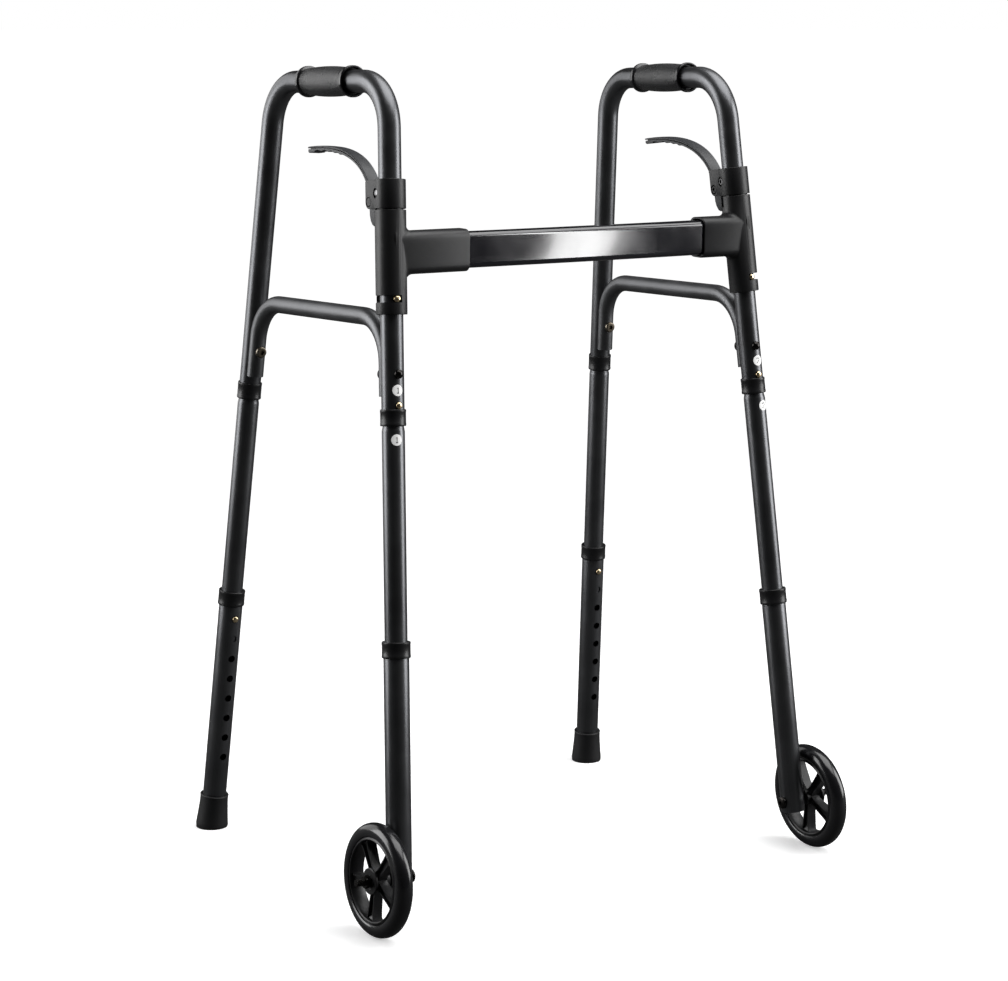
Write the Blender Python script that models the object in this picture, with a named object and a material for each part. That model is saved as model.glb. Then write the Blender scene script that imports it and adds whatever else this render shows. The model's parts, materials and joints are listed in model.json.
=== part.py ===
"""Folding walking frame with two front wheels and two rear rubber tips.

Metres, +Z up. The user stands on the +Y side and walks towards -Y, so the right side is -X. Each side frame turns
on its own front leg inside a moulded housing at the end of the crossbar. A leg's pieces are modelled in that leg's
own frame: +Z runs up the leg from the floor, +Y points away from the other leg of the pair at the front leg and
also at the rear leg, and +X points to the user's left. Heights called "high" and "low" are distances along a leg.
"""

import math

import bmesh
import bpy
from mathutils import Matrix, Vector

# Stance: where the leg axes meet the floor, and how they splay out sideways and lean lengthways.
FRONT_FOOT = (0.2800, -0.2097)
REAR_FOOT = (0.2825, 0.2459)
FRONT_SPLAY = math.radians(3.18)
REAR_SPLAY = math.radians(2.91)
FRONT_LEAN = math.radians(7.04)
REAR_LEAN = math.radians(-5.96)

# Tubes. The middle tubes are as wide as the frame tube, and the lower tubes slide over them.
TUBE_R = 0.0127
TUBE_WALL = 0.0014
LOWER_R = 0.0143
GAP = 0.0003
NECK_R = TUBE_R - TUBE_WALL - GAP
TUBE_SIDES = 16

# Frame tube: an inverted U whose top run rises a little towards the front.
FRONT_CORNER_HIGH = 0.9346
REAR_CORNER_HIGH = 0.9235
FRAME_BEND_R = 0.055
BEND_STEPS = 4
GRIP_LENGTH = 0.101
GRIP_R = 0.0165
GRIP_LIP_R = 0.0177

# Brace: a bent tube between the legs whose ends lie along them.
BRACE_R = 0.0100
BRACE_WALL = 0.0015
BRACE_OFFSET = 0.0100
BRACE_BEND_R = 0.052
BRACE_FRONT_CORNER_HIGH = 0.6770
BRACE_REAR_CORNER_HIGH = 0.6651
BRACE_FRONT_LOW = 0.5900
BRACE_REAR_LOW = 0.5760
FRONT_BOLT_HIGH = 0.6167
REAR_BOLT_HIGH = 0.6067
BOLT_R = 0.0030
BOLT_HEAD_R = 0.0066
BOLT_DOME_R = 0.0052

# Rings and leg sections, front and rear: (low end, high end) along the leg.
FRONT_UPPER_RING = (0.5600, 0.5783)
REAR_UPPER_RING = (0.5468, 0.5663)
FRONT_LOWER_RING = (0.3056, 0.3236)
REAR_LOWER_RING = (0.2888, 0.3071)
UPPER_RING_R = 0.01435
LOWER_RING_R = 0.0161
NECK_LENGTH = 0.034
UPPER_BUTTON_ABOVE_RING = 0.0041
LOWER_BUTTON_BELOW_RING = 0.0155
FRONT_LEG_LOW = 0.0500
REAR_LEG_LOW = 0.0100
HOLE_PITCH = 0.0254
HOLE_COUNT = 8
MID_BELOW_BUTTON = 0.038

# Snap buttons.
BUTTON_R = 0.0032
HOLE_R = 0.0037
BUTTON_PROUD = 0.0025
LEAF_DEPTH = 0.0080
LEAF_THICK = 0.0008
LEAF_WIDTH = 0.0070
LEAF_LENGTH = 0.026

# Hinge housing.
HOUSING_LOW = 0.6815
HOUSING_TOP = 0.7965
SLEEVE_R = 0.0173
FOLD_BUTTON_HIGH = 0.6984
FOLD_BUTTON_TURN = math.radians(7)
SLOT_HEIGHT = 0.0080
SLOT_TRAVEL = math.radians(116)
SOCKET_Z = 0.7415
SOCKET_HEIGHT = 0.047
SOCKET_DEPTH = 0.030
SOCKET_REACH = {"right": 0.146, "left": 0.1767}
SOCKET_ROOT = 0.205
SOCKET_FILLET = 0.007
GROOVE_R = 0.0150
GROOVE_HEIGHT = 0.0135
GROOVE_MARGIN = math.radians(18)
FOLD_RANGE = {"right": math.radians(83), "left": math.radians(70)}

# Crossbar: a rounded flat tube, bowed a little towards the front.
BAR_HEIGHT = 0.0400
BAR_DEPTH = 0.0225
BAR_CORNER_R = 0.0065
BAR_WALL = 0.0020
BAR_HALF = 0.2040
BAR_BOW = 0.0040

# Release collar and lever, with places as (distance behind the leg axis, height along the leg).
COLLAR_LOW = 0.7977
COLLAR_TOP = 0.8300
CHEEK_HALF = 0.0125
CHEEK_REAR = 0.0285
LEVER_HALF = 0.0078
TOOTH_HALF = 0.0036
LEVER_PIVOT = (0.0221, 0.8046)
COLLAR_RIVET = (0.0040, 0.8132)
COLLAR_RIVET_HALF = 0.0168
PIN_R = 0.0020
PIN_HEAD_R = 0.0034
HUB_R = 0.0060
ARM_CURVE = ((0.0290, 0.8085), (0.0380, 0.8460), (0.0750, 0.8730), (0.1655, 0.8722))
ARM_THICK = 0.0058
RIDGES = 4

# Wheels and tips.
WHEEL_R = 0.0635
TYRE_HALF = 0.0115
TYRE_SEAT_R = 0.0480
WHEEL_OFFSET = 0.0275
RIM_R = 0.0440
HUB_DISC_R = 0.0147
HUB_BARREL_R = 0.0095
SPOKES = 5
AXLE_R = 0.0040
AXLE_END = 0.0557
NUT_FLATS = 0.0130
TIP_TOP_R = 0.0172
TIP_FOOT_R = 0.0198
TIP_HIGH = 0.0430

SIDES = {"right": -1, "left": 1}


def clear_scene():
    """Removes every object, so that the script starts from nothing."""
    for obj in list(bpy.data.objects):
        bpy.data.objects.remove(obj, do_unlink=True)


def material(name, color, roughness, metallic=0.0):
    """A Principled material of one finish."""
    made = bpy.data.materials.new(name)
    made.use_nodes = True
    shader = made.node_tree.nodes["Principled BSDF"]
    shader.inputs["Base Color"].default_value = (*color, 1.0)
    shader.inputs["Roughness"].default_value = roughness
    shader.inputs["Metallic"].default_value = metallic
    made.diffuse_color = (*color, 1.0)
    return made


def mesh_object(name, bm, finish=None, parent=None, place=(0, 0, 0), sharp=35):
    """Turns a bmesh into a named object, shaded smooth up to a sharp angle."""
    bmesh.ops.recalc_face_normals(bm, faces=bm.faces)
    mesh = bpy.data.meshes.new(name)
    bm.to_mesh(mesh)
    bm.free()
    mesh.shade_smooth()
    mesh.set_sharp_from_angle(angle=math.radians(sharp))
    obj = bpy.data.objects.new(name, mesh)
    bpy.context.scene.collection.objects.link(obj)
    if finish:
        mesh.materials.append(finish)
    if parent:
        obj.parent = parent
    obj.location = place
    return obj


def mirror_for(bm, side):
    """Turns a piece modelled for the left side, outward along +X, into its mirror image for the right side."""
    if side < 0:
        bmesh.ops.scale(bm, vec=(-1, 1, 1), verts=bm.verts)
        bmesh.ops.reverse_faces(bm, faces=bm.faces)


def combine(target, cutter, operation="DIFFERENCE"):
    """Adds an exact Boolean whose cutter is kept as a hidden wire helper."""
    step = target.modifiers.new(operation.title(), "BOOLEAN")
    step.operation = operation
    step.solver = "EXACT"
    step.object = cutter
    cutter.hide_render = True
    cutter.display_type = "WIRE"


def turned(profile, steps=16, centre=(0, 0, 0), axis=(0, 0, 1)):
    """Revolves a closed outline of (radius, height) points about an axis."""
    bm = bmesh.new()
    points = [bm.verts.new((r, 0, z)) for r, z in profile]
    edges = [bm.edges.new((a, b)) for a, b in zip(points, points[1:] + points[:1])]
    bmesh.ops.spin(
        bm, geom=points + edges, cent=(0, 0, 0), axis=(0, 0, 1), angle=math.tau, steps=steps, use_merge=True
    )
    bmesh.ops.remove_doubles(bm, verts=bm.verts, dist=1e-6)
    lost = [e for e in bm.edges if not e.link_faces]
    bmesh.ops.delete(bm, geom=lost, context="EDGES")
    turn = Vector((0, 0, 1)).rotation_difference(Vector(axis)).to_matrix().to_4x4()
    bmesh.ops.transform(bm, matrix=Matrix.Translation(centre) @ turn, verts=bm.verts)
    bmesh.ops.recalc_face_normals(bm, faces=bm.faces)
    return bm


def rod(start, end, radius, steps=8):
    """A plain round rod between two points."""
    start, end = Vector(start), Vector(end)
    length = (end - start).length
    return turned([(0, 0), (radius, 0), (radius, length), (0, length)], steps, start, end - start)


def hole(start, end, radius, steps=6):
    """A cutter for a round hole, whose flats stand a full radius from its middle."""
    return rod(start, end, radius / math.cos(math.pi / steps), steps)


def add(bm, other):
    """Copies the faces of another bmesh into this one, and frees the other."""
    mesh = bpy.data.meshes.new("joined")
    other.to_mesh(mesh)
    other.free()
    bm.from_mesh(mesh)
    bpy.data.meshes.remove(mesh)
    return bm


def loft(rings, holes=None):
    """Skins rings of equally many points, capped flat, or with a second set of rings as the inner wall."""
    bm = bmesh.new()

    def skin(sections):
        loops = [[bm.verts.new(p) for p in ring] for ring in sections]
        for a, b in zip(loops, loops[1:]):
            for i in range(len(a)):
                j = (i + 1) % len(a)
                bm.faces.new((a[i], a[j], b[j], b[i]))
        return loops[0], loops[-1]

    first, last = skin(rings)
    if holes is None:
        bm.faces.new(first)
        bm.faces.new(last)
    else:
        for outer, inner in zip((first, last), skin(holes)):
            for i in range(len(outer)):
                j = (i + 1) % len(outer)
                bm.faces.new((outer[i], outer[j], inner[j], inner[i]))
    bmesh.ops.recalc_face_normals(bm, faces=bm.faces)
    return bm


def prism(outline, low, high, axis="X"):
    """Extrudes a closed outline of (y, z) points along X, or of (x, y) points along Z."""

    def at(a, b, depth):
        return (depth, a, b) if axis == "X" else (a, b, depth)

    return loft([[at(a, b, depth) for a, b in outline] for depth in (low, high)])


def box(low, high):
    """A plain box between two corners."""
    (x0, y0, z0), (x1, y1, z1) = low, high
    return prism([(y0, z0), (y1, z0), (y1, z1), (y0, z1)], x0, x1)


def arc(centre, radius, start, stop, steps):
    """Points of a circle's arc, with angles in degrees."""
    turns = [math.radians(start + (stop - start) * k / steps) for k in range(steps + 1)]
    return [(centre[0] + radius * math.cos(t), centre[1] + radius * math.sin(t)) for t in turns]


def rounded_rect(width, height, radius, steps=2):
    """Outline of a rectangle with round corners, centred on its middle."""
    points = []
    for quarter, (sx, sy) in enumerate(((1, 1), (-1, 1), (-1, -1), (1, -1))):
        middle = (sx * (width / 2 - radius), sy * (height / 2 - radius))
        points += arc(middle, radius, 90 * quarter, 90 * quarter + 90, steps)
    return points


def filleted(corners, radius, steps):
    """A route through corner points, with each inner corner rounded to a radius."""
    route = [Vector(corners[0])]
    for before, corner, after in zip(corners, corners[1:], corners[2:]):
        corner = Vector(corner)
        u, v = (Vector(before) - corner).normalized(), (Vector(after) - corner).normalized()
        half = u.angle(v) / 2
        reach = radius / math.tan(half)
        middle = corner + (u + v).normalized() * (radius / math.sin(half))
        start, stop = corner + u * reach - middle, corner + v * reach - middle
        axis, angle = start.cross(stop), start.angle(stop)
        for k in range(steps + 1):
            route.append(middle + Matrix.Rotation(angle * k / steps, 3, axis) @ start)
    return [*route, Vector(corners[-1])]


def tube_along(route, outer, inner, sides):
    """A hollow round tube along a route, kept from twisting."""
    ways = [(b - a).normalized() for a, b in zip(route, route[1:])]
    ways = [ways[0], *((a + b).normalized() for a, b in zip(ways, ways[1:])), ways[-1]]
    across = ways[0].orthogonal().normalized()
    rings, holes = [], []
    for point, way in zip(route, ways):
        across = (across - way * across.dot(way)).normalized()
        up = way.cross(across)
        for radius, kept in ((outer, rings), (inner, holes)):
            turns = [math.tau * k / sides for k in range(sides)]
            kept.append([point + (across * math.cos(t) + up * math.sin(t)) * radius for t in turns])
    return loft(rings, holes)


def leg_frame(side, foot, splay, lean, other_foot, other_lean, other_splay):
    """The matrix of a leg: +Z up its axis, +Y from the front leg towards the rear leg."""
    axis = Vector((-side * math.tan(splay), math.tan(lean), 1)).normalized()
    base = Vector((side * foot[0], foot[1], 0))
    other = Vector((side * other_foot[0], other_foot[1], 0))
    other += Vector((-side * math.tan(other_splay), math.tan(other_lean), 1)) * 0.6
    towards = other - (base + axis * 0.6)
    if foot[1] > other_foot[1]:
        towards = -towards
    rearward = (towards - axis * towards.dot(axis)).normalized()
    columns = (rearward.cross(axis), rearward, axis)
    turn = Matrix((columns[0], columns[1], columns[2])).transposed().to_4x4()
    return Matrix.Translation(base) @ turn


def empty(name, matrix):
    """An empty that carries a leg's pieces."""
    made = bpy.data.objects.new(name, None)
    made.matrix_world = matrix
    bpy.context.scene.collection.objects.link(made)
    return made


class Leg:
    """One leg's frame, with the placing and cutting that its pieces share."""

    def __init__(self, name, side, matrix, rear):
        self.name, self.side, self.matrix, self.rear = name, side, matrix, rear
        self.empty = empty(name + "_axis", matrix)

    def point(self, behind, high):
        """World position of a point of this leg's middle plane."""
        return self.matrix @ Vector((0, behind, high))

    def local(self, point):
        """A world position in this leg's frame."""
        return self.matrix.inverted() @ Vector(point)

    def place(self, name, bm, finish, pivot=(0, 0, 0), sharp=35):
        """Makes an object of a piece modelled outward along +X, with its origin at a pivot of this leg."""
        pivot = Vector((pivot[0] * self.side, pivot[1], pivot[2]))
        mirror_for(bm, self.side)
        bmesh.ops.translate(bm, vec=-pivot, verts=bm.verts)
        return mesh_object(name, bm, finish, self.empty, pivot, sharp)

    def cut(self, target, bm, operation="DIFFERENCE"):
        """Cuts an object with a helper modelled outward along +X."""
        mirror_for(bm, self.side)
        cutter = mesh_object(target.name + "_cutter", bm, None, self.empty)
        combine(target, cutter, operation)


def side_rods(places, direction, reach, radius, steps=6):
    """Rods out of a leg's axis at several heights, for holes in one wall."""
    bm = bmesh.new()
    way = Vector(direction).normalized()
    for high in places:
        start = Vector((0, 0, high))
        add(bm, hole(start + way * 0.004, start + way * reach, radius, steps))
    return bm


def polar(angle, radius=1.0):
    """A point round a leg's axis, at an angle from the front towards the outer side."""
    return Vector((math.sin(angle) * radius, -math.cos(angle) * radius, 0))


def snap_button(high, way, tip):
    """A brass snap button with the near half of its leaf spring, which hugs the inside of the tube."""
    dome = [
        (0, LEAF_DEPTH),
        (BUTTON_R, LEAF_DEPTH),
        (BUTTON_R, tip - BUTTON_R * 0.55),
        (BUTTON_R * 0.75, tip - BUTTON_R * 0.15),
        (0, tip),
    ]
    bm = turned(dome, 8, (0, 0, high), way)
    across = Vector((0, 0, 1)).cross(way)
    half = LEAF_WIDTH / 2
    inner = LEAF_DEPTH - LEAF_THICK
    ends = ((-LEAF_LENGTH, inner - 0.0012), (-LEAF_LENGTH * 0.5, inner), (BUTTON_R * 1.6, inner))
    rings = []
    for rise, depth in ends:
        middle = Vector((0, 0, high + rise)) + way * depth
        corners = ((-half, 0), (half, 0), (half, LEAF_THICK + 0.0001), (-half, LEAF_THICK + 0.0001))
        rings.append([middle + across * a + way * b for a, b in corners])
    return bm, loft(rings)


def make_button(leg, name, high, angle, tip, finish):
    """Places a snap button, its stem and leaf joined, with its origin on its line of travel."""
    way = polar(angle)
    stem, leaf = snap_button(high, way, tip)
    button = leg.place(name, stem, finish, (0, 0, high))
    leg.cut(button, leaf, "UNION")
    return button


def ring(low, high, radius, bore, lip=None):
    """A plastic ring with eased edges, and a lip inwards at its top where it covers a tube's end."""
    ease = 0.0008
    outline = [(bore, low), (radius, low), (radius, high - ease), (radius - ease, high)]
    if lip:
        outline += [(lip, high), (lip, high - 0.003), (bore, high - 0.003)]
    else:
        outline += [(bore, high)]
    return turned(outline, 16)


def build_frame_tube(front, rear, name, finish):
    """The inverted-U tube, open at both ends, with its holes."""
    top_front = front.point(0, FRONT_CORNER_HIGH)
    top_rear = rear.point(0, REAR_CORNER_HIGH)
    front_end = front.point(0, sum(FRONT_UPPER_RING) / 2)
    rear_end = rear.point(0, sum(REAR_UPPER_RING) / 2)
    route = filleted([front_end, top_front, top_rear, rear_end], FRAME_BEND_R, BEND_STEPS)
    local = [front.local(p) for p in route]
    bm = tube_along(local, TUBE_R, TUBE_R - TUBE_WALL, TUBE_SIDES)
    tube = mesh_object(name, bm, finish, front.empty)
    fore, aft = polar(0), polar(math.pi)
    reach = TUBE_R + 0.004
    front.cut(tube, side_rods([FRONT_UPPER_RING[1] + UPPER_BUTTON_ABOVE_RING], fore, reach, HOLE_R))
    rear.cut(tube, side_rods([REAR_UPPER_RING[1] + UPPER_BUTTON_ABOVE_RING], aft, reach, HOLE_R))
    front.cut(tube, side_rods([FOLD_BUTTON_HIGH], polar(FOLD_BUTTON_TURN), reach, HOLE_R))
    front.cut(tube, hole((0, -reach, FRONT_BOLT_HIGH), (0, reach, FRONT_BOLT_HIGH), BOLT_R + GAP))
    rear.cut(tube, hole((0, -reach, REAR_BOLT_HIGH), (0, reach, REAR_BOLT_HIGH), BOLT_R + GAP))
    behind, high = COLLAR_RIVET
    front.cut(tube, hole((-reach, behind, high), (reach, behind, high), PIN_R + GAP))
    return tube


def grip_outline():
    """Half outline of the grip: a soft barrel between two flared end lips."""
    half = GRIP_LENGTH / 2
    bore = TUBE_R + GAP
    outer = [(bore, half), (GRIP_LIP_R - 0.0008, half), (GRIP_LIP_R, half - 0.0036)]
    waist, bulge = half - 0.0075, GRIP_R - 0.0148
    for k in range(5):
        along = waist * (1 - k / 2)
        outer.append((0.0148 + bulge * math.cos(math.pi / 2 * along / waist) ** 0.8, along))
    outer += [(r, -z) for r, z in reversed(outer[:3])]
    return outer


def build_grip(front, rear, name, finish):
    """The foam grip, on the middle of the top run."""
    start, stop = front.point(0, FRONT_CORNER_HIGH), rear.point(0, REAR_CORNER_HIGH)
    middle = front.local((start + stop) / 2)
    way = front.local(stop) - front.local(start)
    bm = turned(list(reversed(grip_outline())), 16, middle, way)
    return mesh_object(name, bm, finish, front.empty)


def build_brace(front, rear, name, finish):
    """The bent brace, its ends hollowed to lie along the legs."""
    corners = [
        front.point(BRACE_OFFSET, BRACE_FRONT_LOW),
        front.point(BRACE_OFFSET, BRACE_FRONT_CORNER_HIGH),
        rear.point(-BRACE_OFFSET, BRACE_REAR_CORNER_HIGH),
        rear.point(-BRACE_OFFSET, BRACE_REAR_LOW),
    ]
    route = [front.local(p) for p in filleted(corners, BRACE_BEND_R, BEND_STEPS)]
    bm = tube_along(route, BRACE_R, BRACE_R - BRACE_WALL, 10)
    brace = mesh_object(name, bm, finish, front.empty)
    seat = BRACE_OFFSET + BRACE_R - 0.0009
    legs = ((front, 1, FRONT_BOLT_HIGH), (rear, -1, REAR_BOLT_HIGH))
    for leg, way, bolt in legs:
        leg.cut(brace, rod((0, 0, 0.5), (0, 0, 0.75), TUBE_R + GAP, TUBE_SIDES))
        leg.cut(brace, hole((0, 0, bolt), (0, way * 0.03, bolt), BOLT_R + GAP))
        leg.cut(brace, rod((0, way * seat, bolt), (0, way * 0.03, bolt), BOLT_HEAD_R + 0.0012, 8))
    return brace


def build_brace_bolt(leg, name, high, way, finish):
    """A through bolt: a socket head on the brace, a round shank, and a dome on the far side of the leg."""
    seat = BRACE_OFFSET + BRACE_R - 0.0009 + GAP
    far = TUBE_R + GAP
    outline = [
        (0, -far - 0.0042),
        (BOLT_DOME_R * 0.7, -far - 0.0034),
        (BOLT_DOME_R, -far),
        (BOLT_R, -far),
        (BOLT_R, seat),
        (BOLT_HEAD_R, seat),
        (BOLT_HEAD_R, seat + 0.0020),
        (0.0040, seat + 0.0032),
        (0.0029, seat + 0.0008),
        (0, seat + 0.0008),
    ]
    bm = turned(outline, 8, (0, 0, high), (0, way, 0))
    return leg.place(name, bm, finish)


def build_leg_sections(leg, prefix, upper_ring, lower_ring, low, hole_way, finishes):
    """Middle tube, lower tube, two rings and two snap buttons of one leg."""
    tubes, plastic, brass = finishes
    bore = TUBE_R - TUBE_WALL
    button = lower_ring[0] - LOWER_BUTTON_BELOW_RING
    upper = upper_ring[1] + UPPER_BUTTON_ABOVE_RING
    shoulder = sum(upper_ring) / 2 - 0.0015
    neck_top = upper_ring[1] + NECK_LENGTH - 0.010
    mid_low = button - MID_BELOW_BUTTON
    neck_bore = NECK_R - TUBE_WALL
    outline = [
        (bore, mid_low),
        (TUBE_R, mid_low),
        (TUBE_R, shoulder - 0.0020),
        (NECK_R, shoulder),
        (NECK_R, neck_top),
        (neck_bore, neck_top),
        (neck_bore, shoulder - 0.0030),
        (bore, shoulder - 0.0060),
    ]
    mid = leg.place(prefix + "_mid_tube", turned(outline, TUBE_SIDES), tubes)
    leg.cut(mid, side_rods([upper], polar(0 if not leg.rear else math.pi), 0.018, HOLE_R))
    leg.cut(mid, side_rods([button], polar(hole_way), 0.018, HOLE_R))

    inner = TUBE_R + GAP
    top = lower_ring[1] - 0.003 - GAP
    outline = [(inner, low), (LOWER_R, low), (LOWER_R, top), (inner, top)]
    lower = leg.place(prefix + "_lower_tube", turned(outline, TUBE_SIDES), tubes)
    places = [button - HOLE_PITCH * k for k in range(HOLE_COUNT)]
    leg.cut(lower, side_rods(places, polar(hole_way), 0.018, HOLE_R, 6))

    leg.place(prefix + "_upper_ring", ring(*upper_ring, UPPER_RING_R, TUBE_R + GAP), plastic)
    leg.place(prefix + "_lower_ring", ring(*lower_ring, LOWER_RING_R, LOWER_R + GAP, TUBE_R + GAP), plastic)
    facing = math.pi if leg.rear else 0
    make_button(leg, prefix + "_upper_button", upper, facing, TUBE_R + BUTTON_PROUD, brass)
    make_button(leg, prefix + "_lower_button", button, hole_way, LOWER_R + BUTTON_PROUD, brass)
    return lower


def sector(inner, outer, low, high, start, stop, steps=9):
    """A block of a ring round the leg's axis, between two angles from the front."""
    turns = [start + (stop - start) * k / steps for k in range(steps + 1)]
    rings = []
    for turn in turns:
        corners = ((inner, low), (outer, low), (outer, high), (inner, high))
        rings.append([polar(turn, r) + Vector((0, 0, z)) for r, z in corners])
    return loft(rings)


def bar_section(x, growth, leg_y):
    """The crossbar's rounded section at a distance x from the middle, grown by a clearance."""
    bow = BAR_BOW * (1 - (x / BAR_HALF) ** 2)
    outline = rounded_rect(BAR_DEPTH + 2 * growth, BAR_HEIGHT + 2 * growth, BAR_CORNER_R + growth)
    return [Vector((x, leg_y - bow + a, SOCKET_Z + b)) for a, b in outline]


def build_crossbar(leg_y, finish):
    """The hollow bowed crossbar."""
    stations = [-BAR_HALF + 2 * BAR_HALF * k / 8 for k in range(9)]
    outer = [bar_section(x, 0, leg_y) for x in stations]
    inner = [bar_section(x, -BAR_WALL, leg_y) for x in stations]
    return mesh_object("crossbar", loft(outer, inner), finish)


def build_housing(front, side_name, side, leg_x, leg_y, finish):
    """The moulded T-housing: a sleeve on the front leg and a flared socket for the crossbar."""
    ease = 0.0010
    sleeve = [
        (0, HOUSING_LOW),
        (SLEEVE_R - ease, HOUSING_LOW),
        (SLEEVE_R, HOUSING_LOW + ease),
        (SLEEVE_R, HOUSING_TOP - ease),
        (SLEEVE_R - ease, HOUSING_TOP),
        (0, HOUSING_TOP),
    ]
    housing = front.place(side_name + "_hinge_housing", turned(sleeve, 24), finish)

    mouth = SOCKET_REACH[side_name]
    wall = leg_x - 0.0150
    stations = [(wall + 0.010, SOCKET_FILLET)]
    for k in range(3):
        swing = math.pi / 2 * k / 2
        stations.append((wall - SOCKET_FILLET * (1 - math.cos(swing)), SOCKET_FILLET * (1 - math.sin(swing))))
    stations += [(mouth + 0.0012, 0.0), (mouth, -0.0009)]
    rings = []
    for x, grow in stations:
        outline = rounded_rect(SOCKET_DEPTH + min(2 * grow, 0.0035), SOCKET_HEIGHT + 2 * grow, 0.008)
        rings.append([front.local((side * x, leg_y + a, SOCKET_Z + b)) for a, b in outline])
    socket = mesh_object(side_name + "_socket", loft(rings), None, front.empty)
    combine(housing, socket, "UNION")

    deep = SOCKET_ROOT + 0.001
    pocket = [[front.local(p) for p in bar_section(side * x, GAP, leg_y)] for x in (deep, mouth - 0.004)]
    combine(housing, mesh_object(side_name + "_pocket", loft(pocket), None, front.empty))

    front.cut(housing, rod((0, 0, HOUSING_LOW - 0.01), (0, 0, HOUSING_TOP + 0.01), TUBE_R + GAP, 24))
    half = SLOT_HEIGHT / 2
    margin = (BUTTON_R + 0.0006) / TUBE_R
    start, stop = FOLD_BUTTON_TURN - margin, FOLD_BUTTON_TURN + SLOT_TRAVEL + margin
    slot = sector(0.0105, SLEEVE_R + 0.004, FOLD_BUTTON_HIGH - half, FOLD_BUTTON_HIGH + half, start, stop)
    front.cut(housing, slot)
    low = HOUSING_TOP - GROOVE_HEIGHT
    start, stop = math.pi - GROOVE_MARGIN, math.pi + FOLD_RANGE[side_name] + GROOVE_MARGIN
    groove = sector(GROOVE_R, SLEEVE_R + 0.004, low, HOUSING_TOP + 0.002, start, stop)
    front.cut(housing, groove)
    return housing


def build_collar(front, name, finish):
    """The release collar: a ring on the tube with two cheeks behind it."""
    ease = 0.0008
    outline = [
        (0, COLLAR_LOW),
        (SLEEVE_R - ease, COLLAR_LOW),
        (SLEEVE_R, COLLAR_LOW + ease),
        (SLEEVE_R, COLLAR_TOP - ease),
        (SLEEVE_R - ease, COLLAR_TOP),
        (0, COLLAR_TOP),
    ]
    collar = front.place(name, turned(outline, 24), finish)
    foot, head = COLLAR_LOW + 0.0004, COLLAR_TOP - 0.0005
    cheek = [(0.002, foot), (CHEEK_REAR - 0.007, foot)]
    cheek += arc((CHEEK_REAR - 0.008, foot + 0.008), 0.008, -60, 0, 2)
    cheek += arc((CHEEK_REAR - 0.003, head - 0.003), 0.003, 0, 90, 1)
    cheek += [(0.002, head)]
    front.cut(collar, prism(cheek, -CHEEK_HALF, CHEEK_HALF), "UNION")
    slot = LEVER_HALF + 0.0005
    low, high = COLLAR_LOW - 0.01, COLLAR_TOP + 0.01
    front.cut(collar, box((-slot, 0.0155, low), (slot, CHEEK_REAR + 0.01, high)))
    front.cut(collar, rod((0, 0, low), (0, 0, high), TUBE_R + GAP, 24))
    for (behind, height), half in ((LEVER_PIVOT, CHEEK_HALF), (COLLAR_RIVET, COLLAR_RIVET_HALF)):
        seat, recess = half - 0.0018, PIN_HEAD_R + 0.0005
        outline = [(PIN_R + 0.0005, seat), (recess, seat), (recess, 0.022), (0, 0.022)]
        outline = [(r, -x) for r, x in reversed(outline)] + outline
        front.cut(collar, turned(outline, 8, (0, behind, height), (1, 0, 0)))
    return collar


def build_pin(front, name, place, half, finish):
    """A headed cross pin, flush in the recesses of the collar's sides."""
    behind, height = place
    seat, face = half - 0.0018 + GAP, half - GAP
    outline = [(PIN_R, seat), (PIN_HEAD_R, seat), (PIN_HEAD_R, face), (0, face)]
    outline = [(r, -x) for r, x in reversed(outline)] + outline
    return front.place(name, turned(outline, 8, (0, behind, height), (1, 0, 0)), finish)


def bezier(points, t):
    """A point of a cubic curve, and its direction."""
    p = [Vector(q) for q in points]
    s = 1 - t
    at = p[0] * s**3 + p[1] * 3 * s * s * t + p[2] * 3 * s * t * t + p[3] * t**3
    way = (p[1] - p[0]) * s * s + (p[2] - p[1]) * 2 * s * t + (p[3] - p[2]) * t * t
    return at, way.normalized()


def lever_outline():
    """Side view of the lever: tail, hub, and the arm with finger ridges under its end."""
    py, pz = LEVER_PIVOT
    tail = [(0.0181, 0.7980), (0.0182, 0.7815)]
    tail += [(0.0198, 0.7790), (0.0225, 0.7783), (0.0260, 0.7803), (0.0292, 0.7848), (0.0309, 0.7905)]
    tail += [(0.0312, 0.7975), (0.0318, 0.8060)]

    def edge(t, side, ridge=0.0):
        at, way = bezier(ARM_CURVE, t)
        return tuple(at + Vector((way.y, -way.x)) * side * (ARM_THICK * (1 - 0.22 * t) / 2 + ridge))

    under = [edge(0.14 + 0.07 * k, 1) for k in range(8)]
    for k in range(RIDGES):
        t = 0.66 + 0.066 * k
        under += [edge(t, 1), edge(t + 0.012, 1, 0.0012), edge(t + 0.030, 1, 0.0012), edge(t + 0.042, 1)]
    under += [edge(1, 1)]
    over = [edge(1 - 0.096 * k, -1) for k in range(10)]
    tip, way = bezier(ARM_CURVE, 1)
    end = [tuple(tip + way * 0.0018 + Vector((0, -0.0012))), tuple(tip + way * 0.0018 + Vector((0, 0.0012)))]
    hub = arc((py, pz), HUB_R, 62, 215, 7)
    return tail + under + end + over + hub


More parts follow.
